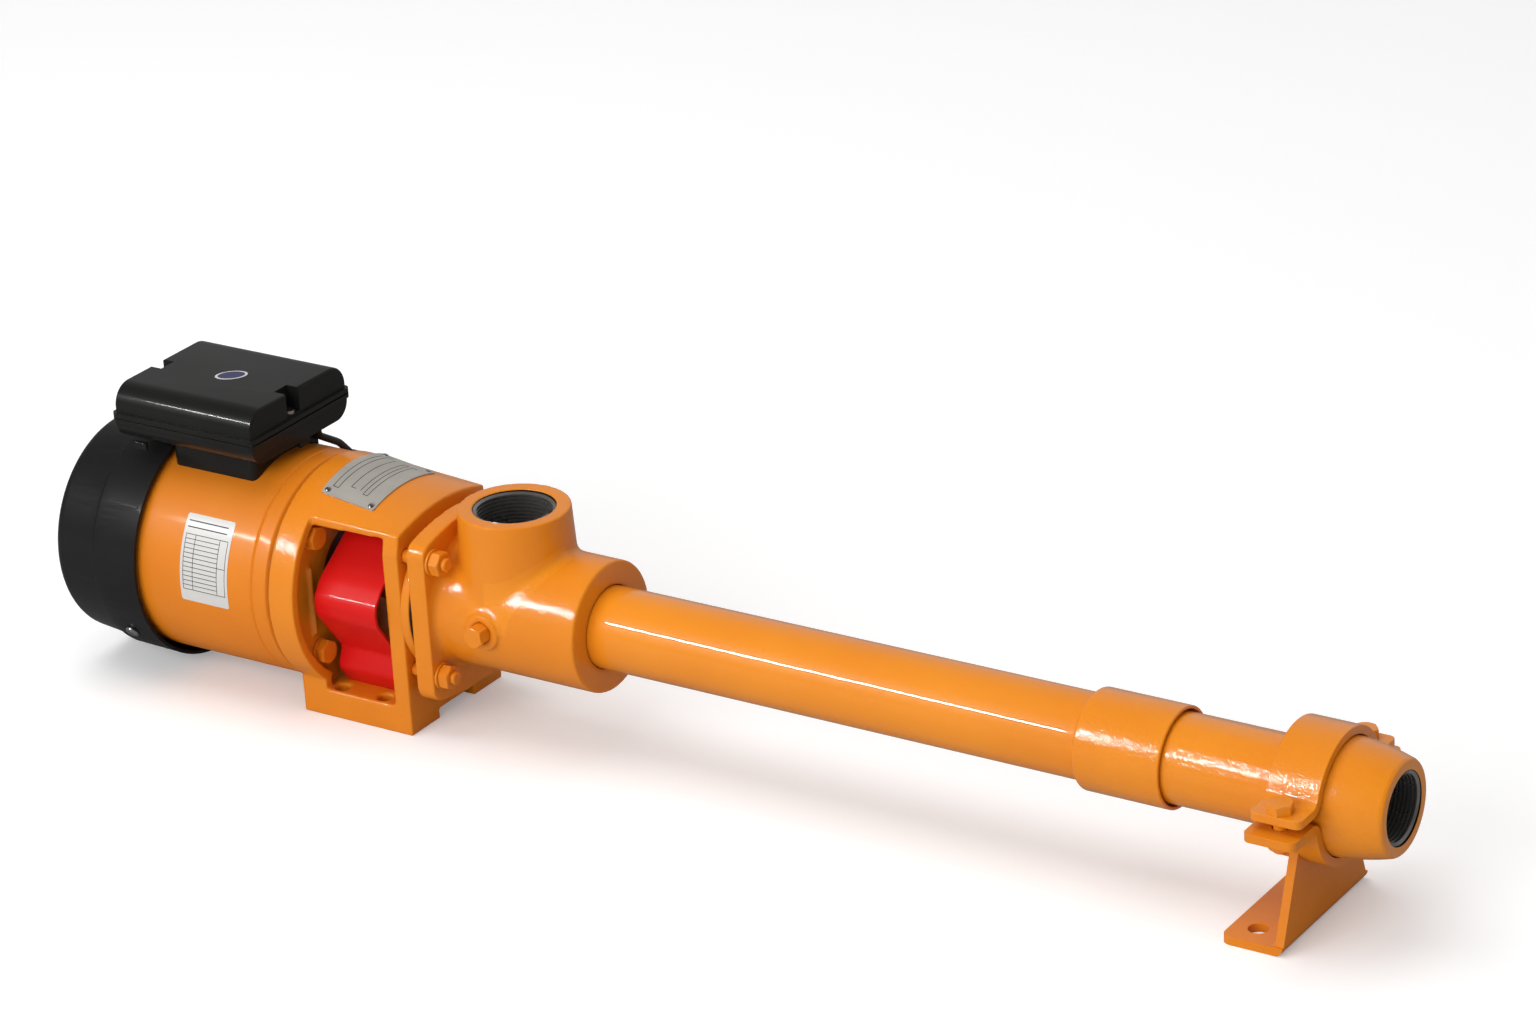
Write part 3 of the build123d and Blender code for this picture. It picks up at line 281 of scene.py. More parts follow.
def fromNode(name, tidy=True):  # a merged copy of a CAD node's mesh
    bm = bmesh.new()
    bm.from_mesh(nodes[name].data)
    bmesh.ops.remove_doubles(bm, verts=bm.verts, dist=0.002 * mm)
    if tidy:
        bmesh.ops.dissolve_limit(bm, angle_limit=math.radians(0.6), verts=bm.verts, edges=bm.edges)
    return bm


def profileFace(bm, points, place):  # points are (a, b) or (a, b, corner radius)
    made = [bm.verts.new(place(point[0], point[1])) for point in points]
    face = bm.faces.new(made)
    for vert, point in zip(made, points):
        if len(point) > 2:
            bmesh.ops.bevel(bm, geom=[vert], offset=point[2] * mm, offset_type="OFFSET", affect="VERTICES",
                            segments=6, profile=0.5, material=-1)


def spunShape(bm, points, steps=144, centre=(0.0, 0.0, axisHeight), along="X"):
    # turns a closed outline of (station, radius) points about a line along X or Z
    old = set(bm.verts)
    cx, cy, cz = centre
    if along == "X":
        place, axis = (lambda s, r: at(s, cy, cz + r)), (1, 0, 0)
    else:
        place, axis = (lambda s, r: at(cx + r, cy, s)), (0, 0, 1)
    before = set(bm.faces)
    profileFace(bm, points, place)
    outline = [face for face in bm.faces if face not in before]
    edges = list(dict.fromkeys(edge for face in outline for edge in face.edges))
    verts = list(dict.fromkeys(vert for face in outline for vert in face.verts))
    bmesh.ops.delete(bm, geom=outline, context="FACES_ONLY")
    bmesh.ops.spin(bm, geom=verts + edges, cent=at(*centre), axis=axis, angle=math.tau, steps=steps,
                   use_merge=True)
    made = [vert for vert in bm.verts if vert not in old]
    bmesh.ops.remove_doubles(bm, verts=made, dist=0.004 * mm)


def boxShape(bm, low, high):
    size = [b - a for a, b in zip(low, high)]
    middle = [(a + b) / 2 for a, b in zip(low, high)]
    place = Matrix.Translation(at(*middle)) @ Matrix.Diagonal((*at(*size), 1))
    bmesh.ops.create_cube(bm, size=1.0, matrix=place)


def joined(bm, name, modifiers):  # runs modifiers on a bmesh and hands back the result
    mesh = bpy.data.meshes.new(name)
    bm.to_mesh(mesh)
    bm.free()
    helper = bpy.data.objects.new(name, mesh)
    scene.collection.objects.link(helper)
    modifiers(helper)
    bpy.context.view_layer.update()
    result = bmesh.new()
    result.from_object(helper, bpy.context.evaluated_depsgraph_get())
    bpy.data.objects.remove(helper)
    return result


def cutBy(bm, cutter, operation="DIFFERENCE"):
    cutMesh = bpy.data.meshes.new("cutter")
    bmesh.ops.recalc_face_normals(cutter, faces=cutter.faces)
    cutter.to_mesh(cutMesh)
    cutter.free()
    tool = bpy.data.objects.new("cutter", cutMesh)
    scene.collection.objects.link(tool)

    def modifiers(helper):
        boolean = helper.modifiers.new("cut", "BOOLEAN")
        boolean.object = tool
        boolean.operation = operation
        boolean.solver = "EXACT"
    result = joined(bm, "blank", modifiers)
    bpy.data.objects.remove(tool)
    return result


def soften(bm, verts, passes):
    for _ in range(passes):
        bmesh.ops.smooth_vert(bm, verts=verts, factor=0.5, use_axis_x=True, use_axis_y=True, use_axis_z=True)


def castSkin(bm, voxel, passes):  # one skin over all the solids, with every edge worn soft
    def modifiers(helper):
        remesh = helper.modifiers.new("skin", "REMESH")
        remesh.mode = "VOXEL"
        remesh.voxel_size = voxel * mm
    skin = joined(bm, "casting", modifiers)
    soften(skin, skin.verts, passes)
    return skin


def dressed(node, material, edge):  # the CAD shape itself, with rounded edges
    finish(fromNode(node), node + "Skin", material, [node], edge, turnOut=False)


# ---- lantern bracket ----
lantern = {"voxel": 0.9, "passes": 3, "rearFace": -27.4, "ribY": (-44.8, -42.2), "ribZ": (51.0, 93.0),
           "ribStand": 2.2, "ribRoot": 0.6}
bm = fromNode("lantern_bracket", tidy=False)
boxShape(bm, (lantern["rearFace"] - lantern["ribRoot"], lantern["ribY"][0], lantern["ribZ"][0]),
         (lantern["rearFace"] + lantern["ribStand"], lantern["ribY"][1], lantern["ribZ"][1]))
bm = castSkin(bm, lantern["voxel"], lantern["passes"])
finish(bm, "lanternCasting", enamelCast, stands=["lantern_bracket"], sharp=60)
print("lantern made")

# ---- pump housing ----
housing = {"voxel": 0.9, "passes": 3, "portX": 91.7, "portR": 24.3, "barrelR": 38.5, "neckR": 32.5,
           "neckDraft": 3.0, "top": 137.8, "flangeFront": 57.6, "blend": 6.0, "blendPasses": 40,
           "boreR": 31.8, "bore": (45.9, 153.0)}
bm = castSkin(fromNode("pump_housing", tidy=False), housing["voxel"], housing["passes"])


def nearNeckRoot(co):
    x, y, z = co.x / mm, co.y / mm, co.z / mm
    neckR = housing["neckR"] + math.tan(math.radians(housing["neckDraft"])) * (housing["top"] - z)
    toNeck = abs(math.hypot(x - housing["portX"], y) - neckR)
    toBarrel = abs(math.hypot(y, z - axisHeight) - housing["barrelR"])
    return z > axisHeight and math.hypot(toNeck, toBarrel) < housing["blend"]


def nearFlangeRoot(co):
    x, r = co.x / mm, math.hypot(co.y, co.z - axisHeight * mm) / mm
    near = math.hypot(x - housing["flangeFront"], r - housing["barrelR"]) < housing["blend"] * 0.8
    return near and x > 55.0


for test in (nearNeckRoot, nearFlangeRoot):
    soften(bm, [vert for vert in bm.verts if test(vert.co)], housing["blendPasses"])
# faces inside the port and barrel bores get the dark unpainted iron, darkened as painted shade of the bore;
# faces at the front of the neck root get the lumpier paint
for face in bm.faces:
    x, y, z = face.calc_center_median() / mm
    inPort = math.hypot(x - housing["portX"], y) < housing["portR"] and z > axisHeight + 10
    rear, front = housing["bore"]
    inBarrel = math.hypot(y, z - axisHeight) < housing["boreR"] and rear < x < front
    rough = nearNeckRoot(face.calc_center_median()) and x > housing["portX"] and y < 0
    face.material_index = 1 if inPort and z < housing["top"] - 0.6 or inBarrel else 2 if rough else 0
finish(bm, "housingCasting", [enamelCast, rawIronWithBoreShade, enamelLumpy], stands=["pump_housing"], sharp=60)
print("housing made")

# ---- threads in the two ports ----
threads = {"pitch": 2.309, "depth": 1.45, "back": 0.6, "steps": 96}
topThread = {"root": 23.95, "mouth": 137.2, "depth": 24.0}
endThread = {"root": 20.45, "mouth": 647.6, "depth": 22.0}


def threadRing(name, size, place, axis, centre):
    # a saw-tooth wall spun once round while it climbs one pitch
    bm = bmesh.new()
    pitch, root = threads["pitch"], size["root"]
    crest = root - threads["depth"]
    turns = int(size["depth"] / pitch)
    low = size["mouth"] - turns * pitch
    points = [(low - pitch, root)]
    for k in range(turns):
        base = low + (k - 1) * pitch
        points += [(base + 0.25 * pitch, root), (base + 0.6 * pitch, crest), (base + 0.72 * pitch, crest),
                   (base + 1.06 * pitch, root)]
    made = [bm.verts.new(place(station, radius)) for station, radius in points]
    edges = [bm.edges.new(pair) for pair in zip(made, made[1:])]
    lift = Vector(axis) * pitch * mm / threads["steps"]
    bmesh.ops.spin(bm, geom=made + edges, cent=at(*centre), axis=axis, dvec=lift, angle=math.tau,
                   steps=threads["steps"])
    bmesh.ops.remove_doubles(bm, verts=bm.verts, dist=0.02 * mm)
    bmesh.ops.solidify(bm, geom=bm.faces, thickness=-threads["back"] * mm)
    finish(bm, name, threadIron, sharp=50)


portX = housing["portX"]
threadRing("topPortThread", topThread, lambda s, r: at(portX + r, 0, s), (0, 0, 1), (portX, 0, 0))
threadRing("endPortThread", endThread, lambda s, r: at(s, 0, axisHeight + r), (1, 0, 0), (0, 0, axisHeight))
print("threads made")

# ---- tube, sleeve and end fitting ----
tube = {"rear": 141.6, "front": 486.1, "outer": 24.15, "inner": 21.55}
bm = bmesh.new()
spunShape(bm, [(tube["rear"], tube["inner"]), (tube["rear"], tube["outer"], 0.6),
               (tube["front"], tube["outer"], 0.6), (tube["front"], tube["inner"])])
finish(bm, "statorTubeSkin", enamelSmooth, stands=["stator_tube"])

sleeve = {"rear": 467.1, "front": 519.6, "outer": 28.4, "gap": 26.5, "gapEnd": 511.6, "pipe": 25.15,
          "tube": 24.2}
bm = bmesh.new()
spunShape(bm, [(sleeve["rear"], sleeve["tube"]), (sleeve["rear"], sleeve["outer"], 2.2),
               (sleeve["front"], sleeve["outer"], 0.9), (sleeve["front"], sleeve["gap"], 0.5),
               (sleeve["gapEnd"], sleeve["gap"]), (sleeve["gapEnd"], sleeve["pipe"]),
               (tube["front"], sleeve["pipe"]),
               (tube["front"], sleeve["tube"])])
finish(bm, "sleeveSkin", enamelLumpy, stands=["coupling_sleeve"])

nozzle = {"boreR": 21.6, "mouth": 648.3}
bm = fromNode("discharge_nozzle")
# faces inside the end fitting's bore get the dark unpainted iron, darkened as painted shade of the bore
for face in bm.faces:
    x, y, z = face.calc_center_median() / mm
    face.material_index = 1 if math.hypot(y, z - axisHeight) < nozzle["boreR"] and x < nozzle["mouth"] else 0
finish(bm, "endFittingSkin", [enamelLumpy, rawIronWithBoreShade], stands=["discharge_nozzle"], edge=0.9, turnOut=False)
print("tube, sleeve and end fitting made")

# ---- clamp, saddle, foot, seal plate, guard ----
dressed("clamp_strap", enamelLumpy, 0.9)
dressed("clamp_saddle", enamelCast, 0.9)
dressed("support_foot", enamelCast, 0.9)
dressed("seal_plate", enamelCast, 0.8)
dressed("shaft_guard", redEnamel, 0.9)
print("clamp, foot and guard made")

# ---- motor ----
shell = {"rear": -149.0, "front": -41.0, "outer": 66.5, "inner": 64.0, "seam": -52.5, "seamWidth": 1.1,
         "seamDepth": 0.8}
bm = bmesh.new()
spunShape(bm, [(shell["rear"], shell["inner"]), (shell["rear"], shell["outer"], 0.5),
               (shell["seam"] - shell["seamWidth"], shell["outer"], 0.2),
               (shell["seam"], shell["outer"] - shell["seamDepth"]),
               (shell["seam"] + shell["seamWidth"], shell["outer"], 0.2),
               (shell["front"] - 1.6, shell["outer"], 0.5),
               (shell["front"] - 0.6, shell["outer"] - 1.1),
               (shell["front"], shell["inner"])], steps=192)
finish(bm, "motorShellSkin", enamelShell, stands=["motor_shell"])
dressed("fan_cowl", blackEnamel, 0.8)
dressed("drive_end_shield", castAluminium, 0.5)
dressed("fan_end_shield", castAluminium, 0.5)
print("motor made")

# ---- terminal box ----
dressed("terminal_box_base", blackPlastic, 0.8)
dressed("terminal_box_lid", blackPlastic, 0.8)
dressed("terminal_box_gasket", darkRubber, 0.2)
dressed("cable_gland", blackPlastic, 0.4)
dressed("lead_boot", blackPlastic, 0.8)
dressed("motor_lead", leadSheath, 0.0)
# two latches moulded under the tray: place, then half sizes
latch = {"z": (145.4, 150.0), "places": [(-144.5, -42.6, 4.5, 1.2), (-60.4, 3.5, 1.2, 4.5)]}
bm = bmesh.new()
for x, y, halfX, halfY in latch["places"]:
    boxShape(bm, (x - halfX, y - halfY, latch["z"][0]), (x + halfX, y + halfY, latch["z"][1]))
finish(bm, "boxLatches", blackPlastic, edge=0.7)
print("terminal box made")

# ---- fasteners ----
m8 = {"flats": 13.0, "head": 5.4, "nut": 6.5, "shank": 4.0, "nutHole": 4.1, "washerR": 8.0, "washer": 1.6,
      "washerHole": 4.05}
hexChamfer = 30.0  # degrees


def spunSolid(bm, points, steps=48):  # spun about z, with its ends closed
    spunShape(bm, points, steps, (0, 0, 0), "Z")
    bmesh.ops.holes_fill(bm, edges=bm.edges)


def hexShape(flats, height, hole=0.0, both=False):
    # a six-sided bar cut by a cone, standing on z = 0 with its worked face up
    corner = flats / 2 / math.cos(math.radians(30))
    flat, outside = flats / 2 * 0.96, corner + 0.01
    drop = (corner - flat) * math.tan(math.radians(hexChamfer))
    bar = bmesh.new()
    bmesh.ops.create_cone(bar, cap_ends=True, segments=6, radius1=corner * mm, radius2=corner * mm,
                          depth=height * mm, matrix=Matrix.Translation(at(0, 0, height / 2)))
    cone = bmesh.new()
    low = [(0.0, 0.01), (0.0, flat), (drop, outside)] if both else [(-0.5, 0.01), (-0.5, outside)]
    spunSolid(cone, low + [(height - drop, outside), (height, flat), (height, 0.01)])
    bar = cutBy(bar, cone, "INTERSECT")
    if hole:
        drill = bmesh.new()
        bmesh.ops.create_cone(drill, cap_ends=True, segments=40, radius1=hole * mm, radius2=hole * mm,
                              depth=3 * height * mm)
        bar = cutBy(bar, drill)
    return bar


def roundShape(radius, height, soft, inner=0.0):  # a disc or washer standing on z = 0
    bm = bmesh.new()
    start = inner if inner else 0.01
    outline = [(0, start), (0, radius, soft), (height, radius, soft), (height, start)]
    spunShape(bm, outline, 48, (0, 0, 0), "Z")
    if not inner:
        bmesh.ops.holes_fill(bm, edges=bm.edges)
    return bm


def stack(layers):  # puts shapes on each other: (shape, height it stands at)
    bm = bmesh.new()
    for shape, lift in layers:
        bmesh.ops.translate(shape, verts=shape.verts, vec=at(0, 0, lift))
        mesh = bpy.data.meshes.new("layer")
        shape.to_mesh(mesh)
        shape.free()
        bm.from_mesh(mesh)
        bpy.data.meshes.remove(mesh)
    return bm


def setOut(bm, places):  # repeats a shape at each matrix
    mesh = bpy.data.meshes.new("one")
    bm.to_mesh(mesh)
    bm.free()
    whole = bmesh.new()
    for place in places:
        first = len(whole.verts)
        whole.from_mesh(mesh)
        whole.verts.ensure_lookup_table()
        bmesh.ops.transform(whole, matrix=place, verts=whole.verts[first:])
    bpy.data.meshes.remove(mesh)
    return whole


def towards(direction, x, y, z, turn=0.0):  # a place whose z axis looks along a direction
    aim = Vector(direction).to_track_quat("Z", "Y").to_matrix().to_4x4()
    return Matrix.Translation(at(x, y, z)) @ aim @ Matrix.Rotation(math.radians(turn), 4, "Z")


def studTip(radius, height, pitch=1.25):  # a threaded end with a chamfered point
    bm = bmesh.new()
    points = [(0.0, 0.01), (0.0, radius)]
    count = int((height - 0.8) / pitch)
    for k in range(count):
        points += [(k * pitch + pitch * 0.5, radius - 0.45), (k * pitch + pitch, radius)]
    points += [(height - 0.6, radius), (height, radius - 0.7), (height, 0.01)]
    spunSolid(bm, points, 40)
    return bm


def fourSpots(size):  # one place at each corner of a bolt square, looking along x
    corners = [(y, z) for y in (-size["y"], size["y"]) for z in (-size["z"], size["z"])]
    turned = zip(corners, size["turns"])
    return [towards((1, 0, 0), size["x"], y, axisHeight + z, turn) for (y, z), turn in turned]


def washerShape():
    return roundShape(m8["washerR"], m8["washer"], 0.4, m8["washerHole"])


def nutShape():
    return hexShape(m8["flats"], m8["nut"], m8["nutHole"], True)


flange = {"x": 57.6, "y": 35.5, "z": 35.5, "turns": [8, 21, -12, 34], "shank": 30.4, "sunk": 29.6}
spots = fourSpots(flange)
finish(setOut(washerShape(), spots), "flangeWasherSkin", enamelCast, ["flange_washers"])
bm = setOut(stack([(nutShape(), m8["washer"])]), spots)
finish(bm, "flangeNutSkin", enamelCast, ["flange_nuts"], edge=0.35, sharp=25)
bm = setOut(stack([(roundShape(m8["shank"], flange["shank"], 0.2), -flange["sunk"]),
                   (studTip(m8["shank"], 9.5), 1.5)]), spots)
finish(bm, "flangeStudSkin", enamelCast, ["flange_studs"])

motorBolts = {"x": -27.4, "y": 39.0, "z": 36.0, "turns": [0, 14, 27, -9], "shank": 20.2, "sunk": 18.6}
spots = fourSpots(motorBolts)
finish(setOut(washerShape(), spots), "motorWasherSkin", enamelCast, ["motor_bolt_washers"])
bm = setOut(stack([(hexShape(m8["flats"], m8["head"]), m8["washer"]),
                   (roundShape(m8["shank"], motorBolts["shank"], 0.2), -motorBolts["sunk"])]), spots)
finish(bm, "motorBoltSkin", enamelCast, ["motor_bolts"], edge=0.45, sharp=25)

clamp = {"x": 602.1, "top": 84.8, "under": 70.5, "heads": ((-48.0, 12), (48.0, -20)),
         "nuts": ((-48.0, 5), (48.0, 22))}
spots = [towards((0, 0, 1), clamp["x"], y, clamp["top"], turn) for y, turn in clamp["heads"]]
bm = setOut(stack([(hexShape(m8["flats"], m8["head"]), 0.0), (roundShape(3.95, 21.0, 0.2), -21.0),
                   (studTip(m8["shank"], 4.0), -23.0)]), spots)
finish(bm, "clampBoltSkin", enamelLumpy, ["clamp_bolts"], edge=0.4, sharp=25)
spots = [towards((0, 0, -1), clamp["x"], y, clamp["under"], turn) for y, turn in clamp["nuts"]]
finish(setOut(nutShape(), spots), "clampNutSkin", enamelLumpy, ["clamp_nuts"], edge=0.35, sharp=25)

plug = {"x": 91.7, "face": -40.9, "flats": 11.5, "height": 8.0, "turn": 12, "shank": 6.0, "sunk": 6.5}
bm = setOut(stack([(hexShape(plug["flats"], plug["height"]), 0.0),
                   (roundShape(plug["shank"], plug["sunk"], 0.2), -plug["sunk"])]),
            [towards((0, -1, 0), plug["x"], plug["face"], axisHeight, plug["turn"])])
finish(bm, "sidePlugSkin", enamelCast, ["side_plug"], edge=0.4, sharp=25)
print("fasteners made")

# ---- screws ----


def slottedHead(radius, height, slotWidth, slotDepth):
    bm = bmesh.new()
    spunSolid(bm, [(0, 0.01), (0, radius), (height * 0.55, radius, 0.5), (height, radius * 0.6, 1.0),
                   (height, 0.01)])
    slot = bmesh.new()
    reach = radius * 1.2
    boxShape(slot, (-slotWidth / 2, -reach, height - slotDepth), (slotWidth / 2, reach, height + 1))
    return cutBy(bm, slot)


cowlScrews = {"angle": 215.7, "count": 3, "x": -153.0, "cowlR": 72.0, "headR": 4.2, "head": 2.0, "shank": 2.5,
              "sunk": 9.8, "firstTurn": 25, "nextTurn": 50}
places = []
for k in range(cowlScrews["count"]):
    turn = math.radians(cowlScrews["angle"] + 360 / cowlScrews["count"] * k)
    out = Vector((0, math.cos(turn), math.sin(turn)))
    seat = Vector((cowlScrews["x"], 0, axisHeight)) + out * cowlScrews["cowlR"]
    places.append(towards(out, *seat, cowlScrews["firstTurn"] + cowlScrews["nextTurn"] * k))
bm = setOut(stack([(slottedHead(cowlScrews["headR"], cowlScrews["head"], 0.9, 0.8), 0.0),
                   (roundShape(cowlScrews["shank"], cowlScrews["sunk"], 0.2), -cowlScrews["sunk"])]), places)
finish(bm, "cowlScrewSkin", platedScrew, ["cowl_screws"], edge=0.12)
print("screws made")

# ---- label, nameplate and sticker, all blank but for ruled lines ----


def laidSheet(bm, u, v, surface, lift, thickness, corner=0.0, count=16, material=0):
    # a thin sheet lying on a surface, where surface(u, v) gives a place and the way out of it
    ends = [corner * (1 - math.cos(math.radians(15 * k))) for k in range(7)] if corner else [0.0]
    middle = [v[0] + corner + (v[1] - v[0] - 2 * corner) * k / count for k in range(1, count)]
    rows = [v[0] + end for end in ends] + middle + [v[1] - end for end in reversed(ends)]
    grid = []
    for row in rows:
        inward = max(0.0, corner - min(row - v[0], v[1] - row))
        inset = corner - math.sqrt(max(0.0, corner ** 2 - inward ** 2))
        line = []
        for k in range(count + 1):
            point, out = surface(u[0] + inset + (u[1] - u[0] - 2 * inset) * k / count, row)
            upper, lower = point + out * lift * mm, point + out * (lift - thickness) * mm
            line.append((bm.verts.new(upper), bm.verts.new(lower)))
        grid.append(line)
    made = []
    for low, high in zip(grid, grid[1:]):
        for k in range(count):
            made.append(bm.faces.new([low[k][0], low[k + 1][0], high[k + 1][0], high[k][0]]))
            made.append(bm.faces.new([low[k][1], high[k][1], high[k + 1][1], low[k + 1][1]]))
        for k in (0, count):
            made.append(bm.faces.new([low[k][0], high[k][0], high[k][1], low[k][1]]))
    for line in (grid[0], grid[-1]):
        for k in range(count):
            made.append(bm.faces.new([line[k][0], line[k][1], line[k + 1][1], line[k + 1][0]]))
    for face in made:
        face.material_index = material


def ruledLine(bm, u, v, surface, lift, count):
    laidSheet(bm, u, v, surface, lift, 0.1, 0.0, count, 1)


def onShell(u, v):
    turn = v / shell["outer"]
    out = Vector((0, -math.cos(turn), math.sin(turn)))
    return at(u, 0, axisHeight) + out * shell["outer"] * mm, out


roofMesh = fromNode("lantern_bracket", tidy=False)
roofTree = BVHTree.FromBMesh(roofMesh)


def onRoof(u, v):
    point, out, _, _ = roofTree.ray_cast(at(u, v, 200), Vector((0, 0, -1)))
    return point, out


label = {"u": (-104.8, -70.0), "v": (-7.8, 44.8), "lift": 0.22, "printLift": 0.26, "ruleWidth": 0.4,
         "rules": 13, "firstRule": 32.5, "pitch": 2.75, "column": -78.0,
         "headLines": (36.5, 40.2), "headWidth": 0.7}
bm = bmesh.new()
laidSheet(bm, label["u"], label["v"], onShell, label["lift"], 0.3, 1.6)
left, right, width = label["u"][0] + 2.0, label["column"], label["ruleWidth"]
for k in range(label["rules"]):
    level = label["firstRule"] - k * label["pitch"]
    end = right if k % 6 else label["u"][1] - 1.8
    ruledLine(bm, (left, end), (level, level + width), onShell, label["printLift"], 6)
low = label["firstRule"] - (label["rules"] - 1) * label["pitch"]
for column in (left, left + 7.0, right, label["u"][1] - 2.2):
    ruledLine(bm, (column, column + width), (low, label["firstRule"]), onShell, label["printLift"], 12)
for level in label["headLines"]:
    ruledLine(bm, (left, right + 4), (level, level + label["headWidth"]), onShell, label["printLift"], 6)
finish(bm, "motorLabel", [labelFilm, printInk], sharp=50)

# the plate's long lines as (x, from y, to y), and the short ones that end them as (x, y)
plate = {"x": (-23.0, 13.5), "y": (-30.0, 30.0), "lift": 0.9, "printLift": 0.94, "ruleWidth": 0.45,
         "tick": 3.4,
         "rules": [(-19.0, -24.0, 24.0), (-15.5, -24.0, 24.0), (-9.0, -20.0, 22.0), (-2.5, -20.0, 22.0),
                   (0.5, -22.0, 22.0), (3.5, -22.0, 22.0)],
         "ticks": [(-19.0, -24.0), (-9.0, -20.0), (0.5, -22.0), (-15.5, 23.6), (-2.5, 21.6), (3.5, 21.6)]}
width = plate["ruleWidth"]
bm = bmesh.new()
laidSheet(bm, plate["x"], plate["y"], onRoof, plate["lift"], 1.1, 1.2, 24)
for x, start, stop in plate["rules"]:
    ruledLine(bm, (x, x + width), (start, stop), onRoof, plate["printLift"], 20)
for x, y in plate["ticks"]:
    ruledLine(bm, (x, x + plate["tick"]), (y, y + width), onRoof, plate["printLift"], 4)
finish(bm, "lanternPlate", [plateMetal, printInk], sharp=50)
places = []
for x in (plate["x"][0] + 3.0, plate["x"][1] - 3.0):
    for y in (plate["y"][0] + 2.8, plate["y"][1] - 2.8):
        point, out = onRoof(x, y)
        places.append(towards(out, *(point / mm)))
rivet = bmesh.new()
spunSolid(rivet, [(-0.5, 0.01), (-0.5, 1.9), (1.2, 1.9, 0.3), (1.9, 1.0, 0.8), (1.9, 0.01)], 28)
finish(setOut(rivet, places), "plateRivets", platedScrew, sharp=60)
roofMesh.free()

sticker = {"x": -106.4, "y": -0.7, "z": 108.0, "half": (9.6, 6.2), "turn": 40}
bm = bmesh.new()
for size, top, material in ((1.0, 0.15, 0), (0.84, 0.19, 1)):
    first = set(bm.faces)
    spread = Matrix.Translation(at(sticker["x"], sticker["y"], sticker["z"] + axisHeight + top - 0.1))
    spread = spread @ Matrix.Rotation(math.radians(sticker["turn"]), 4, "Z")
    spread = spread @ Matrix.Diagonal((sticker["half"][0] * size, sticker["half"][1] * size, 1, 1))
    bmesh.ops.create_cone(bm, cap_ends=True, segments=48, radius1=mm, radius2=mm, depth=0.2 * mm,
                          matrix=spread)
    for face in bm.faces:
        if face not in first:
            face.material_index = material
finish(bm, "lidSticker", [labelFilm, stickerBlue], sharp=50)
print("label, plate and sticker made")

# ---- carried-over inner nodes ----
innerFinish = {
    "flange_gasket": darkRubber, "housing_oring": darkRubber, "stator_rubber": darkRubber,
    "water_thrower": darkRubber, "helical_rotor": platedRotor, "drive_end_bearing": bearingSteel,
    "fan_end_bearing": bearingSteel, "stator_core": coreSteel, "rotor_core": coreSteel,
    "motor_windings": copperWinding, "motor_shaft": shaftSteel, "drive_shaft": shaftSteel,
    "drive_key": shaftSteel, "flexible_shaft": shaftSteel, "seal_spring": shaftSteel,
    "seal_seat": sealCeramic, "seal_head": sealCarbon, "cooling_fan": blackPlastic,
    "lid_screws": platedScrew, "capacitor": capacitorCan, "terminal_block": terminalMoulding}
for name, material in innerFinish.items():
    nodes[name].data.materials.clear()
    nodes[name].data.materials.append(material)
print("inner parts finished")

# ---- floor, light and camera ----
floorMesh = bmesh.new()
bmesh.ops.create_grid(floorMesh, x_segments=1, y_segments=1, size=30.0)
mesh = bpy.data.meshes.new("floor")
floorMesh.to_mesh(mesh)
floorMesh.free()
floor = bpy.data.objects.new("floor", mesh)
scene.collection.objects.link(floor)
# the floor's tone by the kind of ray that meets it, then the room's light for soft and for mirrored rays
stage = {"seen": 0.93, "bounce": 0.62, "mirrored": 0.3, "glow": 0.22, "dome": 0.42, "front": 0.05,
         "back": 0.52}
floorMaterial, tree, bsdf = shader("floorWhite", 0.7, specular=0.1)
rays = addNode(tree, "ShaderNodeLightPath")
tone = mixNumber(tree, rays.outputs["Is Glossy Ray"], stage["bounce"], stage["mirrored"])
tone = mixNumber(tree, rays.outputs["Is Camera Ray"], tone, stage["seen"])
glow = mathNode(tree, "MULTIPLY", rays.outputs["Is Camera Ray"], stage["glow"])
tree.links.new(addNode(tree, "ShaderNodeCombineColor", None, {0: tone, 1: tone, 2: tone}).outputs["Color"],
               bsdf.inputs["Base Color"])
bsdf.inputs["Emission Color"].default_value = (1, 1, 1, 1)
tree.links.new(glow, bsdf.inputs["Emission Strength"])
mesh.materials.append(floorMaterial)

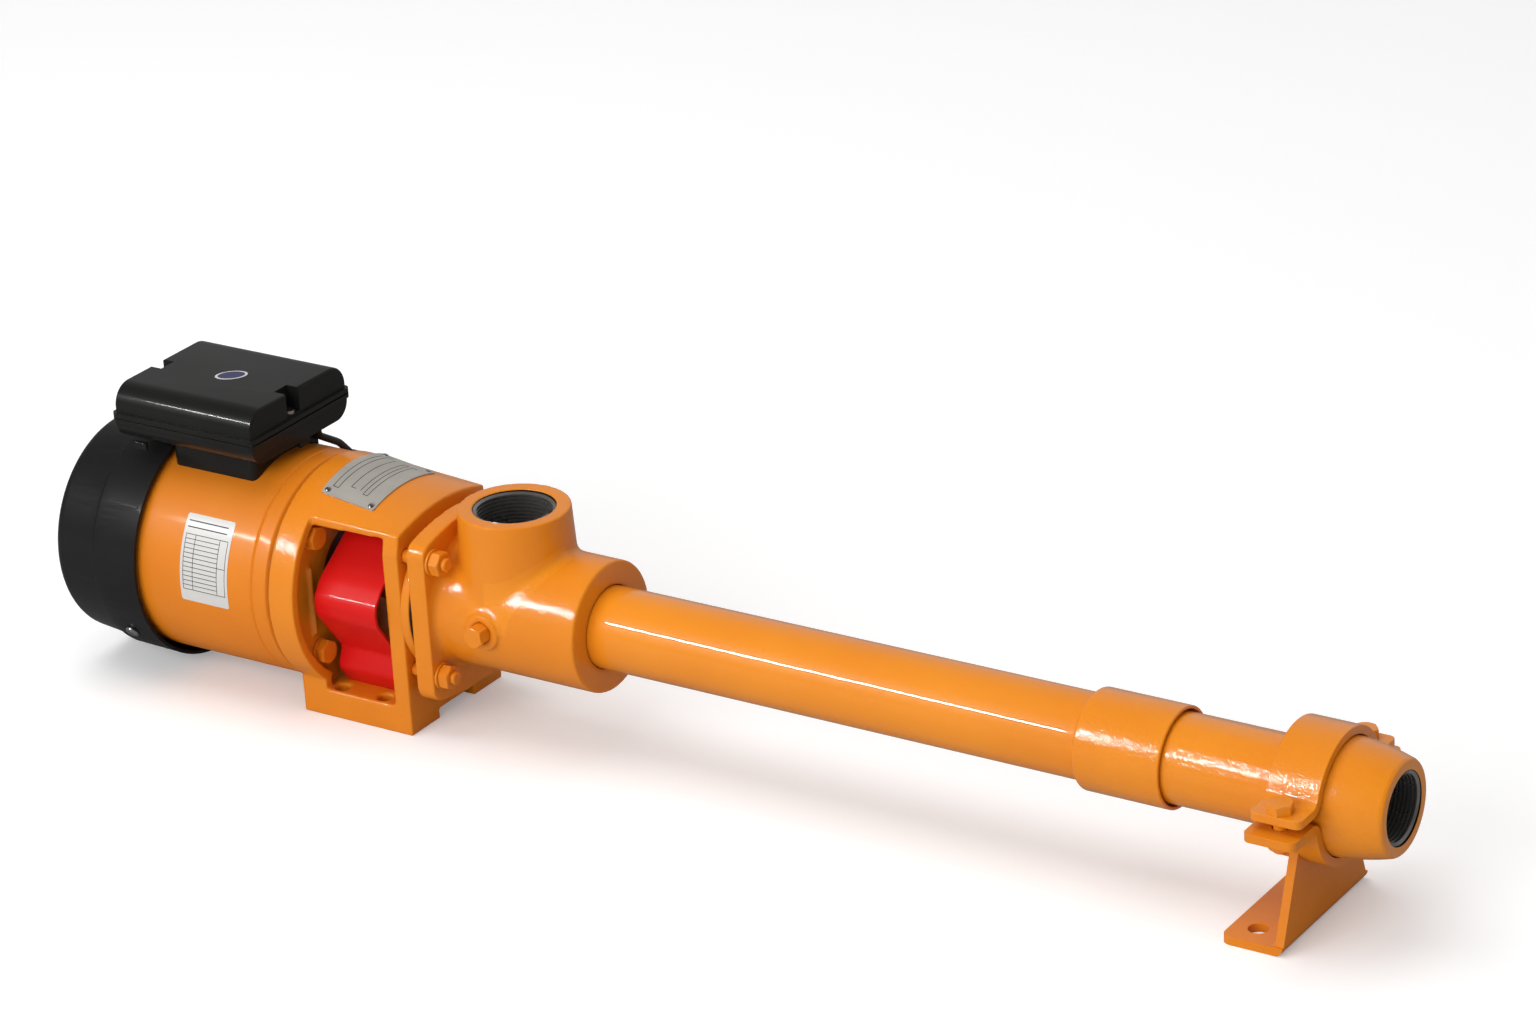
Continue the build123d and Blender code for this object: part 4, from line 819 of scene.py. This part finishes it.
world = bpy.data.worlds.new("room")
scene.world = world
world.use_nodes = True
tree = world.node_tree
background = tree.nodes["Background"]
rays = addNode(tree, "ShaderNodeLightPath")
heading = addNode(tree, "ShaderNodeTexCoord").outputs["Generated"]
split = addNode(tree, "ShaderNodeSeparateXYZ", None, {"Vector": heading})
behind = ramp(tree, split.outputs["Y"], -0.1, 0.9, stage["front"], stage["back"],
              {"interpolation_type": "SMOOTHSTEP"})
dome = mixNumber(tree, rays.outputs["Is Glossy Ray"], stage["dome"], behind)
level = mixNumber(tree, rays.outputs["Is Camera Ray"], dome, 1.0)
tree.links.new(level, background.inputs["Strength"])
background.inputs["Color"].default_value = (1, 1, 1, 1)


lampDistance = 3.0
lampAim = Vector((0.22, 0.0, 0.07))


def softbox(name, direction, width, height, power, mirrored):
    # a lamp either shows as a mirrored strip only, or lights softly and isn't seen in reflections
    data = bpy.data.lights.new(name, "AREA")
    data.shape = "RECTANGLE"
    data.size, data.size_y = width, height
    data.energy = power
    lamp = bpy.data.objects.new(name, data)
    scene.collection.objects.link(lamp)
    lamp.location = lampAim + Vector(direction).normalized() * lampDistance
    lamp.rotation_euler = (lampAim - lamp.location).to_track_quat("-Z", "Y").to_euler()
    lamp.visible_glossy = mirrored
    lamp.visible_diffuse = not mirrored


softbox("stripLight", (-0.5, -0.73, 0.47), 1.5, 0.1, 64, True)
softbox("frontFill", (-0.1, -0.9, 0.36), 2.6, 2.2, 56, False)
softbox("topLight", (-0.25, -0.05, 1.0), 2.4, 2.4, 42, False)

camera = bpy.data.cameras.new("camera")
camera.lens = 117.32
camera.sensor_width = 36.0
cameraObject = bpy.data.objects.new("camera", camera)
scene.collection.objects.link(cameraObject)
turned = Matrix.Rotation(math.radians(34.12), 4, "Z") @ Matrix.Rotation(math.radians(66.34), 4, "X")
rolled = Matrix.Rotation(math.radians(-3.3), 4, "Z")
cameraObject.matrix_world = Matrix.Translation((1.6687, -2.0722, 1.2641)) @ turned @ rolled
camera.clip_end = 100
scene.camera = cameraObject
scene.view_settings.view_transform = "Standard"
print("camera and light set")
